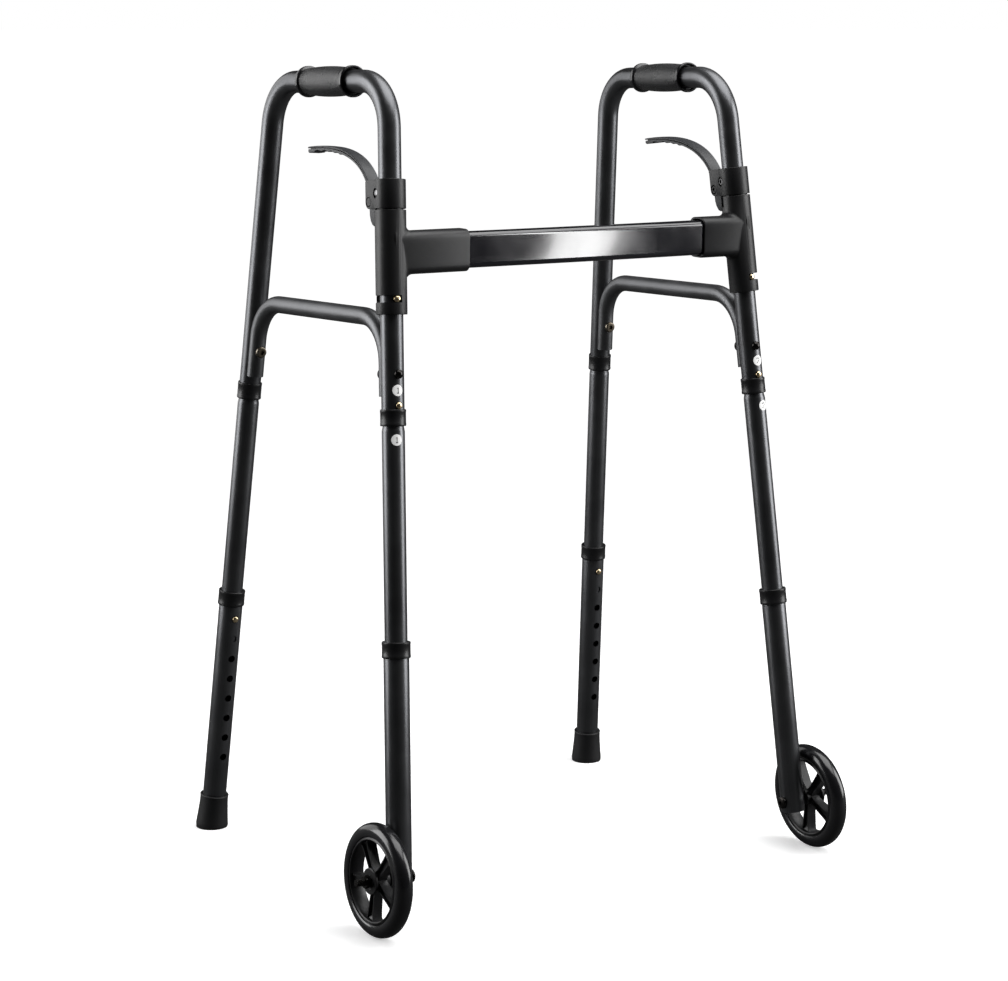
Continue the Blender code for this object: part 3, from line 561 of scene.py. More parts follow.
class Effects:
    """The node groups that several finishes share, each made once."""

    @staticmethod
    def start(name: str, **inputs: float) -> tuple[NodeSheet, dict[str, Socket]]:
        """Opens a group that takes a place and some numbers.

        Args:
            name: The group's name.
            inputs: Its numbers by name, with their defaults.

        Returns:
            The sheet, and the input sockets by name.
        """
        tree = bpy.data.node_groups.new(name, "ShaderNodeTree")
        tree.interface.new_socket(name="Vector", in_out="INPUT", socket_type="NodeSocketVector")
        for label, value in inputs.items():
            socket = tree.interface.new_socket(name=label, in_out="INPUT", socket_type="NodeSocketFloat")
            socket.default_value = value
        sheet = NodeSheet(tree)
        source = sheet.add("NodeGroupInput")
        return sheet, {label: source.outputs[label] for label in ("Vector", *inputs)}

    @staticmethod
    def close(sheet: NodeSheet, **outputs: Socket) -> Tree:
        """Ends a group with its number outputs.

        Args:
            sheet: The group's sheet.
            outputs: The sockets that it gives out, by name.

        Returns:
            The group's tree.
        """
        for label in outputs:
            sheet.tree.interface.new_socket(name=label, in_out="OUTPUT", socket_type="NodeSocketFloat")
        sheet.add("NodeGroupOutput", **outputs)
        return sheet.tree

    @staticmethod
    @functools.cache
    def grain() -> Tree:
        """Fine moulded or blasted grain.

        Returns:
            A group that gives a height, and a slow cloudiness.
        """
        sheet, given = Effects.start("fine_grain", Fineness=2000.0, Cloud=30.0)
        fine = sheet.noise(given["Vector"], given["Fineness"], 2.0, 0.6)
        slow = sheet.noise(given["Vector"], given["Cloud"], 3.0, 0.55)
        return Effects.close(sheet, Height=fine, Cloud=sheet.spread(slow, 0.3, 0.7, 0.0, 1.0))

    @staticmethod
    @functools.cache
    def drawn() -> Tree:
        """Faint lines along a drawn tube.

        Returns:
            A group that gives the lines.
        """
        sheet, given = Effects.start("drawn_lines", Across=900.0, Along=9.0)
        stretch = sheet.add("CombineXYZ", X=given["Across"], Y=given["Across"], Z=given["Along"])
        scaled = sheet.vector("MULTIPLY", given["Vector"], stretch.outputs[0])
        lines = sheet.noise(scaled.outputs[0], 1.0, 3.0, 0.65)
        return Effects.close(sheet, Lines=sheet.spread(lines, 0.3, 0.7, 0.0, 1.0))

    @staticmethod
    @functools.cache
    def wear() -> Tree:
        """Rubbed places and hairline scratches.

        Returns:
            A group that gives both as masks.
        """
        sheet, given = Effects.start("handling_wear", Size=25.0, Amount=0.3)
        patches = sheet.noise(given["Vector"], given["Size"], 6.0, 0.7)
        rubbed = sheet.spread(patches, 0.55, 0.75, 0.0, 1.0)
        bent = sheet.wavered(given["Vector"], 14.0, 0.03)
        streaks = sheet.add("Mapping", Vector=bent, Rotation=(0.6, 0.4, 0.9), Scale=(40.0, 420.0, 60.0))
        thin = sheet.spread(sheet.cells(streaks.outputs[0], 1.0), 0.0, 0.02, 1.0, 0.0)
        scratches = sheet.math("MULTIPLY", thin, rubbed)
        return Effects.close(
            sheet,
            Rubbed=sheet.math("MULTIPLY", rubbed, given["Amount"]),
            Scratches=sheet.math("MULTIPLY", scratches, given["Amount"]),
        )

    @staticmethod
    @functools.cache
    def dust() -> Tree:
        """Fine dust that settles on faces that look up.

        Returns:
            A group that gives the dust's mask.
        """
        sheet, given = Effects.start("settled_dust", Amount=0.1)
        normal = sheet.add("NewGeometry").outputs["Normal"]
        height = sheet.add("SeparateXYZ", Vector=normal).outputs["Z"]
        upward = sheet.math("POWER", sheet.math("MAXIMUM", height, 0.0), 2.0)
        specks = sheet.noise(given["Vector"], 260.0, 5.0, 0.75)
        patchy = sheet.math("MULTIPLY", upward, sheet.spread(specks, 0.42, 0.68, 0.0, 1.0))
        return Effects.close(sheet, Dust=sheet.math("MULTIPLY", patchy, given["Amount"]))

    @staticmethod
    @functools.cache
    def pebble() -> Tree:
        """Pebbled skin like fine leather.

        Returns:
            A group that gives a height, and the creases between the pebbles.
        """
        sheet, given = Effects.start("pebbled_skin", Fineness=900.0)
        borders = sheet.cells(sheet.wavered(given["Vector"], 300.0, 0.0012), given["Fineness"])
        return Effects.close(
            sheet,
            Height=sheet.spread(borders, 0.0, 0.28, 0.0, 1.0),
            Creases=sheet.spread(borders, 0.0, 0.09, 1.0, 0.0),
        )


class Surface(NodeSheet):
    """The sheet of one material, with its shader and the place that its patterns follow."""

    def __init__(self, material: bpy.types.Material, metallic: float) -> None:
        """Starts the nodes of a material.

        Args:
            material: The material.
            metallic: How metallic its shader is.
        """
        super().__init__(material.node_tree)
        self.shader = self.add("BsdfPrincipled", Metallic=metallic)
        self.place = self.add("TexCoord").outputs["Object"]
        self.add("OutputMaterial", Surface=self.shader.outputs[0])

    def effect(self, tree: Tree, **inputs: float) -> bpy.types.bpy_prop_collection:
        """Lays a shared effect over the surface, and returns its outputs."""
        return self.add("Group", {"node_tree": tree}, Vector=self.place, **inputs).outputs

    def set(self, name: str, value: object) -> None:
        """Feeds one input of the shader."""
        self.feed(self.shader.inputs[name], value)

    def scratched(self, mask: Socket, share: float, body: Socket, bare: Point) -> Socket:
        """Shows another colour where a share of a mask lies: bare metal at scratches, tarnish, and painted
        shade in the grip's creases.
        """
        return self.blend(self.math("MULTIPLY", mask, share), body, bare)

    def relief(self, height: Socket, distance: float, strength: float) -> None:
        """Feeds a height into the shader's normal.

        Args:
            height: The height, from 0 to 1.
            distance: Depth of the relief in metres.
            strength: How much of it shows.
        """
        bump = self.add("Bump", Height=height, Distance=distance, Strength=strength)
        self.set("Normal", bump.outputs[0])


@dataclass(frozen=True)
class Finish:
    """A finish of one kind of surface; each kind fills in its own nodes."""

    name: str
    color: Point
    slot: str
    roughness: float = 0.4
    metallic: float = 0.0

    def material(self) -> bpy.types.Material:
        """Finds the finish's material, or makes it on first use.

        Returns:
            The material.
        """
        found = bpy.data.materials.get(self.name)
        if found:
            return found
        made = bpy.data.materials.new(self.name)
        made.use_nodes = True
        made.diffuse_color = (*self.color, 1.0)
        self.wire(Surface(made, self.metallic))
        return made

    def wire(self, surface: Surface) -> None:
        """Fills in the surface's colour, roughness and relief."""
        raise NotImplementedError

    def tone(self, factor: float, lift: float = 0.0) -> Point:
        """The finish's colour, lighter or darker by a factor."""
        return tuple(min(c * factor + lift, 1.0) for c in self.color)

    def uneven(self, surface: Surface, cloud: Socket, below: float, above: float) -> Socket:
        """Roughness that wanders with a cloudiness, from below to above the finish's own."""
        return surface.spread(cloud, 0.0, 1.0, self.roughness - below, self.roughness + above)


@dataclass(frozen=True)
class Anodised(Finish):
    """Drawn aluminium tube, blasted and anodised to a satin sheen."""

    metallic: float = 0.9
    bare: Point = (0.30, 0.31, 0.33)
    wear: float = 0.35
    dust: float = 0.02

    def wire(self, surface: Surface) -> None:
        """Fills in drawn lines, cloudiness, rubbing and dust.

        Args:
            surface: The material's sheet.
        """
        lines = surface.effect(Effects.drawn(), Across=1400.0, Along=7.0)["Lines"]
        grain = surface.effect(Effects.grain(), Fineness=3200.0, Cloud=18.0)
        wear = surface.effect(Effects.wear(), Size=22.0, Amount=self.wear)
        dust = surface.effect(Effects.dust(), Amount=self.dust)["Dust"]
        mottle = surface.plus(surface.math("MULTIPLY", lines, 0.45), grain["Cloud"], 0.55)
        body = surface.blend(mottle, self.tone(0.80), self.tone(1.22))
        worn = surface.scratched(wear["Scratches"], 0.8, body, self.bare)
        surface.set("Base Color", surface.blend(dust, worn, (0.45, 0.44, 0.42)))
        rough = self.uneven(surface, grain["Cloud"], 0.04, 0.05)
        polished = surface.plus(rough, wear["Rubbed"], -0.10)
        surface.set("Roughness", surface.plus(polished, dust, 0.5))
        surface.relief(surface.plus(grain["Height"], lines, 0.4), 0.00001, 0.20)


@dataclass(frozen=True)
class Moulded(Finish):
    """Injection-moulded plastic or rubber with a spark-eroded texture."""

    fineness: float = 1500.0
    depth: float = 0.00007
    dust: float = 0.025

    def wire(self, surface: Surface) -> None:
        """Fills in grain, polished patches, scratches and dust.

        Args:
            surface: The material's sheet.
        """
        surface.set("Specular IOR Level", 0.40)
        grain = surface.effect(Effects.grain(), Fineness=self.fineness, Cloud=26.0)
        wear = surface.effect(Effects.wear(), Size=30.0, Amount=0.5)
        dust = surface.effect(Effects.dust(), Amount=self.dust)["Dust"]
        body = surface.blend(grain["Cloud"], self.tone(0.82), self.tone(1.25, 0.002))
        worn = surface.scratched(wear["Scratches"], 0.5, body, (0.10, 0.10, 0.10))
        surface.set("Base Color", surface.blend(dust, worn, (0.32, 0.31, 0.29)))
        rough = surface.spread(grain["Height"], 0.3, 0.7, self.roughness - 0.05, self.roughness + 0.06)
        polished = surface.plus(rough, wear["Rubbed"], -0.12)
        surface.set("Roughness", surface.plus(polished, dust, 0.4))
        surface.relief(grain["Height"], self.depth, 0.6)


@dataclass(frozen=True)
class GlossCoat(Finish):
    """Smooth gloss paint or polished moulding, with a faint orange peel."""

    peel: float = 420.0
    coat: float = 0.5

    def wire(self, surface: Surface) -> None:
        """Fills in the clear coat, orange peel, hairlines and a little dust.

        Args:
            surface: The material's sheet.
        """
        surface.set("Coat Weight", self.coat)
        surface.set("Coat Roughness", 0.06)
        grain = surface.effect(Effects.grain(), Fineness=self.peel, Cloud=20.0)
        wear = surface.effect(Effects.wear(), Size=16.0, Amount=0.6)
        dust = surface.effect(Effects.dust(), Amount=0.02)["Dust"]
        body = surface.blend(grain["Cloud"], self.color, self.tone(1.5, 0.001))
        worn = surface.scratched(wear["Scratches"], 0.25, body, (0.12, 0.12, 0.12))
        surface.set("Base Color", surface.blend(dust, worn, (0.36, 0.35, 0.34)))
        rough = self.uneven(surface, grain["Cloud"], 0.02, 0.04)
        surface.set("Roughness", surface.plus(rough, dust, 0.6))
        surface.relief(grain["Height"], 0.00004, 0.25)


@dataclass(frozen=True)
class PebbledFoam(Finish):
    """Soft grip skin with a pebbled, leathery grain."""

    fineness: float = 560.0

    def wire(self, surface: Surface) -> None:
        """Fills in pebbles, creases, hand polish and dust.

        Args:
            Fills in pebbles, painted shade in the creases, hand polish and dust.
        """
        surface.set("Sheen Weight", 0.05)
        skin = surface.effect(Effects.pebble(), Fineness=self.fineness)
        grain = surface.effect(Effects.grain(), Fineness=2600.0, Cloud=35.0)
        dust = surface.effect(Effects.dust(), Amount=0.04)["Dust"]
        body = surface.blend(grain["Cloud"], self.color, self.tone(1.35))
        # Painted shade: the creases between the pebbles are darkened in the base colour.
        crease_shaded = surface.scratched(skin["Creases"], 0.7, body, self.tone(0.45))
        surface.set("Base Color", surface.blend(dust, crease_shaded, (0.30, 0.29, 0.28)))
        rough = self.uneven(surface, grain["Cloud"], 0.08, 0.06)
        surface.set("Roughness", surface.plus(rough, skin["Creases"], 0.15))
        surface.relief(surface.plus(skin["Height"], grain["Height"], 0.25), 0.00020, 0.9)


@dataclass(frozen=True)
class TurnedMetal(Finish):
    """Turned or plated metal of pins, bolts, nuts and snap buttons."""

    metallic: float = 1.0
    tarnish: Point = (0.10, 0.07, 0.03)

    def wire(self, surface: Surface) -> None:
        """Fills in tool marks, tarnish and bright scratches.

        Args:
            surface: The material's sheet.
        """
        grain = surface.effect(Effects.grain(), Fineness=1800.0, Cloud=160.0)
        wear = surface.effect(Effects.wear(), Size=180.0, Amount=0.8)
        body = surface.scratched(grain["Cloud"], 0.45, self.color, self.tarnish)
        surface.set("Base Color", surface.blend(wear["Scratches"], body, self.tone(1.3)))
        surface.set("Roughness", self.uneven(surface, grain["Cloud"], 0.05, 0.12))
        surface.relief(grain["Height"], 0.00002, 0.35)


@dataclass(frozen=True)
class Paper(Finish):
    """Printed paper or ink, with faint fibres and a painted glow that lightens it beyond its lighting."""

    fineness: float = 900.0
    # Strength of the painted glow: emission that lightens the paper beyond its lighting.
    glow: float = 0.0

    def wire(self, surface: Surface) -> None:
        """Fills in fibres, a little unevenness and the painted glow.

        Args:
            surface: The material's sheet.
        """
        grain = surface.effect(Effects.grain(), Fineness=self.fineness, Cloud=self.fineness / 60)
        surface.set("Base Color", surface.blend(grain["Cloud"], self.tone(0.975), self.color))
        surface.set("Roughness", self.uneven(surface, grain["Cloud"], 0.03, 0.03))
        # Painted light: the emission makes the paper glow, so it looks more brightly lit than its lamps make
        # it.
        dim, bright = self.tone(self.glow * 0.97), self.tone(self.glow)
        surface.set("Emission Color", surface.blend(grain["Cloud"], dim, bright))
        surface.set("Emission Strength", 1.0)
        surface.relief(grain["Height"], 0.00002, 0.2)


@dataclass(frozen=True)
class StudioFloor(Finish):
    """Pale studio floor: bright to look at, but dim in the object's reflections."""

    shade: Point = (0.045, 0.045, 0.045)
    glow: float = 0.40
    near: float = 1.6
    far: float = 4.5

    def wire(self, surface: Surface) -> None:
        """Fills in the two brightnesses and a faint cloudiness.

        Args:
            surface: The material's sheet.
        """
        seen = surface.add("LightPath").outputs["Is Camera Ray"]
        grain = surface.effect(Effects.grain(), Fineness=90.0, Cloud=0.8)
        pale = surface.blend(grain["Cloud"], self.tone(0.985), self.color)
        surface.set("Base Color", surface.blend(seen, self.shade, pale))
        away = surface.vector("LENGTH", surface.place).outputs["Value"]
        rise = surface.spread(away, self.near, self.far, self.glow, 1.0)
        lit = surface.math("MULTIPLY", seen, rise)
        surface.set("Emission Color", surface.blend(lit, (0.0, 0.0, 0.0), (1.0, 1.0, 1.0)))
        surface.set("Emission Strength", 1.0)
        surface.set("Roughness", self.uneven(surface, grain["Cloud"], 0.02, 0.04))
        surface.relief(grain["Height"], 0.0001, 0.1)


TUBE = Anodised("satin_anodised_tube", (0.118, 0.120, 0.126), "tube", roughness=0.34)
BRACE = Anodised("light_anodised_brace", (0.128, 0.130, 0.135), "brace", roughness=0.43)
BAR = GlossCoat("gloss_black_crossbar", (0.004, 0.004, 0.006), "bar", roughness=0.11)
HOUSING = Moulded("moulded_black_housing", (0.009, 0.009, 0.010), "moulded", roughness=0.42)
LEVER = Moulded("moulded_charcoal_lever", (0.040, 0.042, 0.046), "lever", roughness=0.44, fineness=1900.0)
GRIP = PebbledFoam("pebbled_grip_foam", (0.012, 0.0125, 0.0135), "foam", roughness=0.30)
GRIP_LIP = GlossCoat("polished_grip_lip", (0.008, 0.008, 0.009), "foam", roughness=0.16, coat=0.3)
RING = Moulded("smooth_black_ring", (0.010, 0.010, 0.011), "ring", roughness=0.34, fineness=2400.0,
               depth=0.00003)
BRASS = TurnedMetal("snap_button_brass", (0.95, 0.78, 0.50), "brass", roughness=0.22,
                    tarnish=(0.60, 0.40, 0.18))
STEEL = TurnedMetal("dark_zinc_steel", (0.20, 0.18, 0.15), "steel", roughness=0.28)
SCREW = TurnedMetal("zinc_screw", (0.17, 0.17, 0.175), "steel", roughness=0.24, tarnish=(0.07, 0.065, 0.06))
BLACK_STEEL = TurnedMetal("black_oxide_steel", (0.035, 0.034, 0.034), "steel", roughness=0.24,
                          tarnish=(0.02, 0.015, 0.01))
PIN_CAP = Moulded("moulded_pin_cap", (0.010, 0.010, 0.011), "steel", roughness=0.46, fineness=1900.0)
WHEEL = Moulded("wheel_nylon", (0.010, 0.010, 0.011), "hub", roughness=0.36, fineness=2200.0, depth=0.00004)
TYRE = GlossCoat("smooth_tyre", (0.007, 0.007, 0.008), "tyre", roughness=0.20, coat=0.15, peel=160.0)
TIP = Moulded("matt_tip_rubber", (0.013, 0.013, 0.014), "rubber", roughness=0.50, fineness=1300.0)
# The label's glow is painted light: emission that makes the paper look brighter than its lamps light it.
LABEL = Paper("label_paper", (0.93, 0.93, 0.92), "ring", roughness=0.55, glow=0.30)
INK = Paper("label_ink", (0.03, 0.03, 0.03), "ring", roughness=0.50)
FLOOR = StudioFloor("studio_floor", (0.90, 0.90, 0.90), "ring", roughness=0.80)


# ------------------------------------------------------------------------------
# Legs and pieces
# ------------------------------------------------------------------------------


@dataclass(frozen=True)
class Leg:
    """One leg's own frame, read from the record, and the placing of pieces in it."""

    side: Side
    end: str
    matrix: Matrix
    axle: float = 0.0

    @classmethod
    def read(cls, record: dict, side: Side, end: str) -> Leg:
        """Reads a leg's frame from the joints and mounts.

        Args:
            record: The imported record.
            side: Which side frame.
            end: "front" or "rear".

        Returns:
            The leg.
        """
        joints = {joint["name"]: joint for joint in record["behaviour"]["joints"]}
        up = Vector(joints[f"{side.label}_{end}_height"]["axis"]).normalized()
        if end == "front":
            pivot = Vector(joints[f"{side.label}_fold"]["pos_m"])
            foot = pivot - up * (pivot.z / up.z)
            across = Vector(joints[f"{side.label}_trigger"]["axis"])
            rearward = up.cross(across).normalized()
        else:
            mounts = {mount["name"]: mount for mount in record["mounts"]}
            foot = Vector(mounts[f"{side.label}_tip_sole"]["pos_m"])
            rearward = -Vector(joints[f"{side.label}_rear_upper_button_press"]["axis"]).normalized()
        columns = Matrix((rearward.cross(up), rearward, up)).transposed().to_4x4()
        leg = cls(side, end, Matrix.Translation(foot) @ columns)
        if end == "rear":
            return leg
        return replace(leg, axle=leg.local(joints[f"{side.label}_wheel_spin"]["pos_m"]).z)

    def crossing(self, level: float) -> Vector:
        """World position where the leg's axis passes a height above the floor."""
        return self.point(0, level / self.matrix[2][2])

    def point(self, behind: float, high: float) -> Vector:
        """World position of a point in the leg's middle plane."""
        return self.matrix @ Vector((0, behind, high))

    def local(self, point: Sequence[float]) -> Vector:
        """A world position in the leg's frame."""
        return self.matrix.inverted() @ Vector(point)

    def fit(self, name: str, bm: BMesh, finish: Finish, body: str, nodes: Sequence[str] = (),
            mirror: bool = True) -> bpy.types.Object:
        """Makes a piece from a mesh in this leg's frame.

        Args:
            name: The piece's name, without its side.
            bm: The mesh, made outward along +X.
            finish: The piece's finish.
            body: The moving body it rides on, without its side.
            nodes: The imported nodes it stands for, without their side.
            mirror: Whether the mesh is mirrored on the right side.

        Returns:
            The new object.
        """
        if mirror and self.side is Side.RIGHT:
            mirrored(bm)
        label = self.side.label
        obj = make_object(f"{label}_{name}", bm, finish, self.matrix)
        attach(obj, body if body == "bar" else f"{label}_{body}")
        if nodes:
            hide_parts(*(f"{label}_{node}" for node in nodes))
        return obj


def make_object(name: str, bm: BMesh, finish: Finish, matrix: Matrix) -> bpy.types.Object:
    """Turns a mesh into a dressed object.

    Args:
        name: The object's name.
        bm: The mesh, which is freed.
        finish: Its finish.
        matrix: Where its own frame stands.

    Returns:
        The new object.
    """
    bmesh.ops.recalc_face_normals(bm, faces=bm.faces)
    mesh = bpy.data.meshes.new(name)
    bm.to_mesh(mesh)
    bm.free()
    mesh.shade_smooth()
    mesh.set_sharp_from_angle(angle=SHARP_ANGLE)
    mesh.materials.append(finish.material())
    obj = bpy.data.objects.new(name, mesh)
    obj.matrix_world = matrix
    bpy.context.scene.collection.objects.link(obj)
    LOG.info("%s: %d faces", name, len(mesh.polygons))
    return obj


@dataclass(frozen=True)
class TubeStock:
    """Sizes that the tubes share."""

    radius: float = 0.0127
    bore: float = 0.0113
    lower_radius: float = 0.0143
    gap: float = 0.0003
    button_hole: float = 0.0044
    bend_steps: int = 18
    sides: int = 48

    @property
    def over_upper(self) -> float:
        """Bore radius of a piece that fits over the upper or middle tube."""
        return self.radius + self.gap

    @property
    def over_lower(self) -> float:
        """Bore radius of a piece that fits over the lower tube."""
        return self.lower_radius + self.gap


@dataclass(frozen=True)
class SharedPlaces:
    """Places that several sub-assemblies share, along their leg except for the crossbar's level.

    The fold button has a height and an angle from the leg's front. The lever's pivot and the
    collar's screw have a distance behind the leg's axis and a height. The bolts have a height on
    the front leg and one on the rear leg.
    """

    fold_button: tuple[float, float] = (0.6984, math.radians(7))
    lever_pivot: tuple[float, float] = (0.0221, 0.8046)
    collar_screw: tuple[float, float] = (0.0044, 0.8132)
    bolts: tuple[float, float] = (0.6167, 0.6067)
    bar_level: float = 0.7415


STOCK = TubeStock()
PLACES = SharedPlaces()


@dataclass
class SideTube:
    """The bent tube of a side frame, with its grip."""

    front: Leg
    rear: Leg
    front_end: float = 0.56915
    rear_end: float = 0.55655
    front_corner: float = 0.9346
    rear_corner: float = 0.9235
    bend: float = 0.055
    fold_hole: float = 0.0043
    bolt_hole: float = 0.0033
    screw_hole: float = 0.0024
    upper_buttons: tuple[float, float] = (0.5824, 0.5704)
    grip_length: float = 0.101
    grip_radius: float = 0.0171
    lip_radius: float = 0.0178
    waist_radius: float = 0.0152

    def build(self) -> None:
        """Builds the tube and the grip."""
        self.build_tube()
        self.build_grip()

    def build_tube(self) -> None:
        """The inverted U, with its button, bolt and screw holes."""
        front, rear = self.front, self.rear
        corners = [
            front.point(0, self.front_end),
            front.point(0, self.front_corner),
            rear.point(0, self.rear_corner),
            rear.point(0, self.rear_end),
        ]
        route = [front.local(p) for p in filleted(corners, self.bend, STOCK.bend_steps)]
        bm = tube_along(route, STOCK.radius, STOCK.bore, STOCK.sides)
        sign = front.side.value
        into = front.matrix.inverted() @ rear.matrix
        high, turn = PLACES.fold_button
        way = polar(turn)
        way.x *= sign
        near, reach = 0.004, 0.017
        base = Vector((0, 0, high))
        holes = [rod(base + way * near, base + way * reach, self.fold_hole)]
        places = [(Matrix(), self.upper_buttons[0], -1), (into, self.upper_buttons[1], 1)]
        for frame, height, facing in places:
            ends = [frame @ Vector((0, facing * d, height)) for d in (near, reach)]
            holes.append(rod(*ends, STOCK.button_hole))
        for frame, height in zip((Matrix(), into), PLACES.bolts):
            ends = [frame @ Vector((0, d, height)) for d in (-reach, reach)]
            holes.append(rod(*ends, self.bolt_hole))
        high = PLACES.collar_screw[1]
        holes.append(rod((-reach, near, high), (reach, near, high), self.screw_hole))
        bm = combined(bm, joined(*holes))
        front.fit("side_tube", bm, TUBE, "frame", ["frame_tube"], mirror=False)

    def grip_profile(self) -> Profile:
        """Half section of the grip: a swelling barrel, a waist, and a rolled hollow lip at each end."""
        half, bore, lip, waist = self.grip_length / 2, STOCK.over_upper, self.lip_radius, self.waist_radius
        end = [(bore, half - 0.0060), (lip - 0.0030, half - 0.0052), (lip - 0.0020, half - 0.0010)]
        end += arc((lip - 0.0011, half - 0.0011), 0.0011, 150, 0, 7)
        end += arc((lip - 0.0021, half - 0.0036), 0.0021, 0, -75, 6)
        end += [(waist + 0.0002, half - 0.0066), (waist, half - 0.0078)]
        reach, steps = half - 0.0086, 32
        barrel = []
        for k in range(steps + 1):
            along = reach * (1 - 2 * k / steps)
            barrel.append((waist + (self.grip_radius - waist) * (1 - (along / reach) ** 2), along))
        return end + barrel + [(r, -z) for r, z in reversed(end)]

    def build_grip(self) -> None:
        """The soft grip: pebbled barrel, and polished lips as their own finish."""
        front, rear = self.front, self.rear
        start, stop = front.point(0, self.front_corner), rear.point(0, self.rear_corner)
        middle, way = front.local((start + stop) / 2), front.local(stop) - front.local(start)
        bm = turned(list(reversed(self.grip_profile())), 72, middle, way)
        grip = front.fit("grip_foam", bm, GRIP, "frame", ["grip"], mirror=False)
        grip.data.materials.append(GRIP_LIP.material())
        along = way.normalized()
        for face in grip.data.polygons:
            if abs((Vector(face.center) - middle).dot(along)) > self.grip_length / 2 - 0.0066:
                face.material_index = 1


@dataclass
class Brace:
    """The bent brace between the legs, and its two bolts."""

    front: Leg
    rear: Leg
    radius: float = 0.0100
    bore: float = 0.0085
    offset: float = 0.0100
    bend: float = 0.052
    corners: tuple[float, float] = (0.6770, 0.6651)
    ends: tuple[float, float] = (0.5920, 0.5760)
    bolt_void: float = 0.0034
    head_radius: float = 0.0066
    seat: float = 0.0191

    def build(self) -> None:
        """Builds the brace and its bolts."""
        front, rear = self.front, self.rear
        corners = [
            front.point(self.offset, self.ends[0]),
            front.point(self.offset, self.corners[0]),
            rear.point(-self.offset, self.corners[1]),
            rear.point(-self.offset, self.ends[1]),
        ]
        route = [front.local(p) for p in filleted(corners, self.bend, STOCK.bend_steps)]
        bm = tube_along(route, self.radius, self.bore, 40)
        into = front.matrix.inverted() @ rear.matrix
        for frame, way, bolt in ((Matrix(), 1, PLACES.bolts[0]), (into, -1, PLACES.bolts[1])):
            below, above = frame @ Vector((0, 0, 0.5)), frame @ Vector((0, 0, 0.75))
            middle, seat, far = (frame @ Vector((0, way * d, bolt)) for d in (0, self.seat, 0.03))
            bm = combined(bm, rod(below, above, STOCK.over_upper, 64))
            bm = combined(bm, rod(middle, far, self.bolt_void))
            bm = combined(bm, rod(seat, far, self.head_radius + 0.0010))
        front.fit("brace_bar", bm, BRACE, "frame", ["brace"], mirror=False)
        self.build_bolt(front, PLACES.bolts[0], 1, "brace_bolt_front", BLACK_STEEL)
        self.build_bolt(rear, PLACES.bolts[1], -1, "brace_bolt_rear", STEEL)

    def build_bolt(self, leg: Leg, high: float, way: int, node: str, finish: Finish) -> None:
        """One through bolt: a hexagon socket head on the brace, and a dome on the far side of the leg.

        Args:
            leg: The leg it goes through.
            high: Its height along the leg.
            way: Which way its head faces along Y.
            node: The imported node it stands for.
            finish: Its finish.
        """
        seat, far = self.seat + STOCK.gap, STOCK.over_upper
        head = [(self.head_radius, seat), (self.head_radius, seat + 0.0016)]
        head += arc((self.head_radius - 0.0016, seat + 0.0016), 0.0016, 20, 90, 5)
        turns = [math.radians(a) for a in range(0, 91, 10)]
        dome = [(0.0052 * math.sin(a), -far - 0.0042 * math.cos(a)) for a in turns]
        profile = [*dome, (0.0030, -far), (0.0030, seat), *head, (0.0, seat + 0.0032)]
        bm = turned(profile, 48, (0, 0, high), (0, way, 0))
        floor, mouth = seat + 0.0008, seat + 0.006
        socket = [(0, floor), (0.0031, floor), (0.0033, mouth), (0, mouth)]
        bm = combined(bm, turned(socket, 6, (0, 0, high), (0, way, 0)))
        leg.fit(f"{node}_set", bm, finish, "frame", [node])


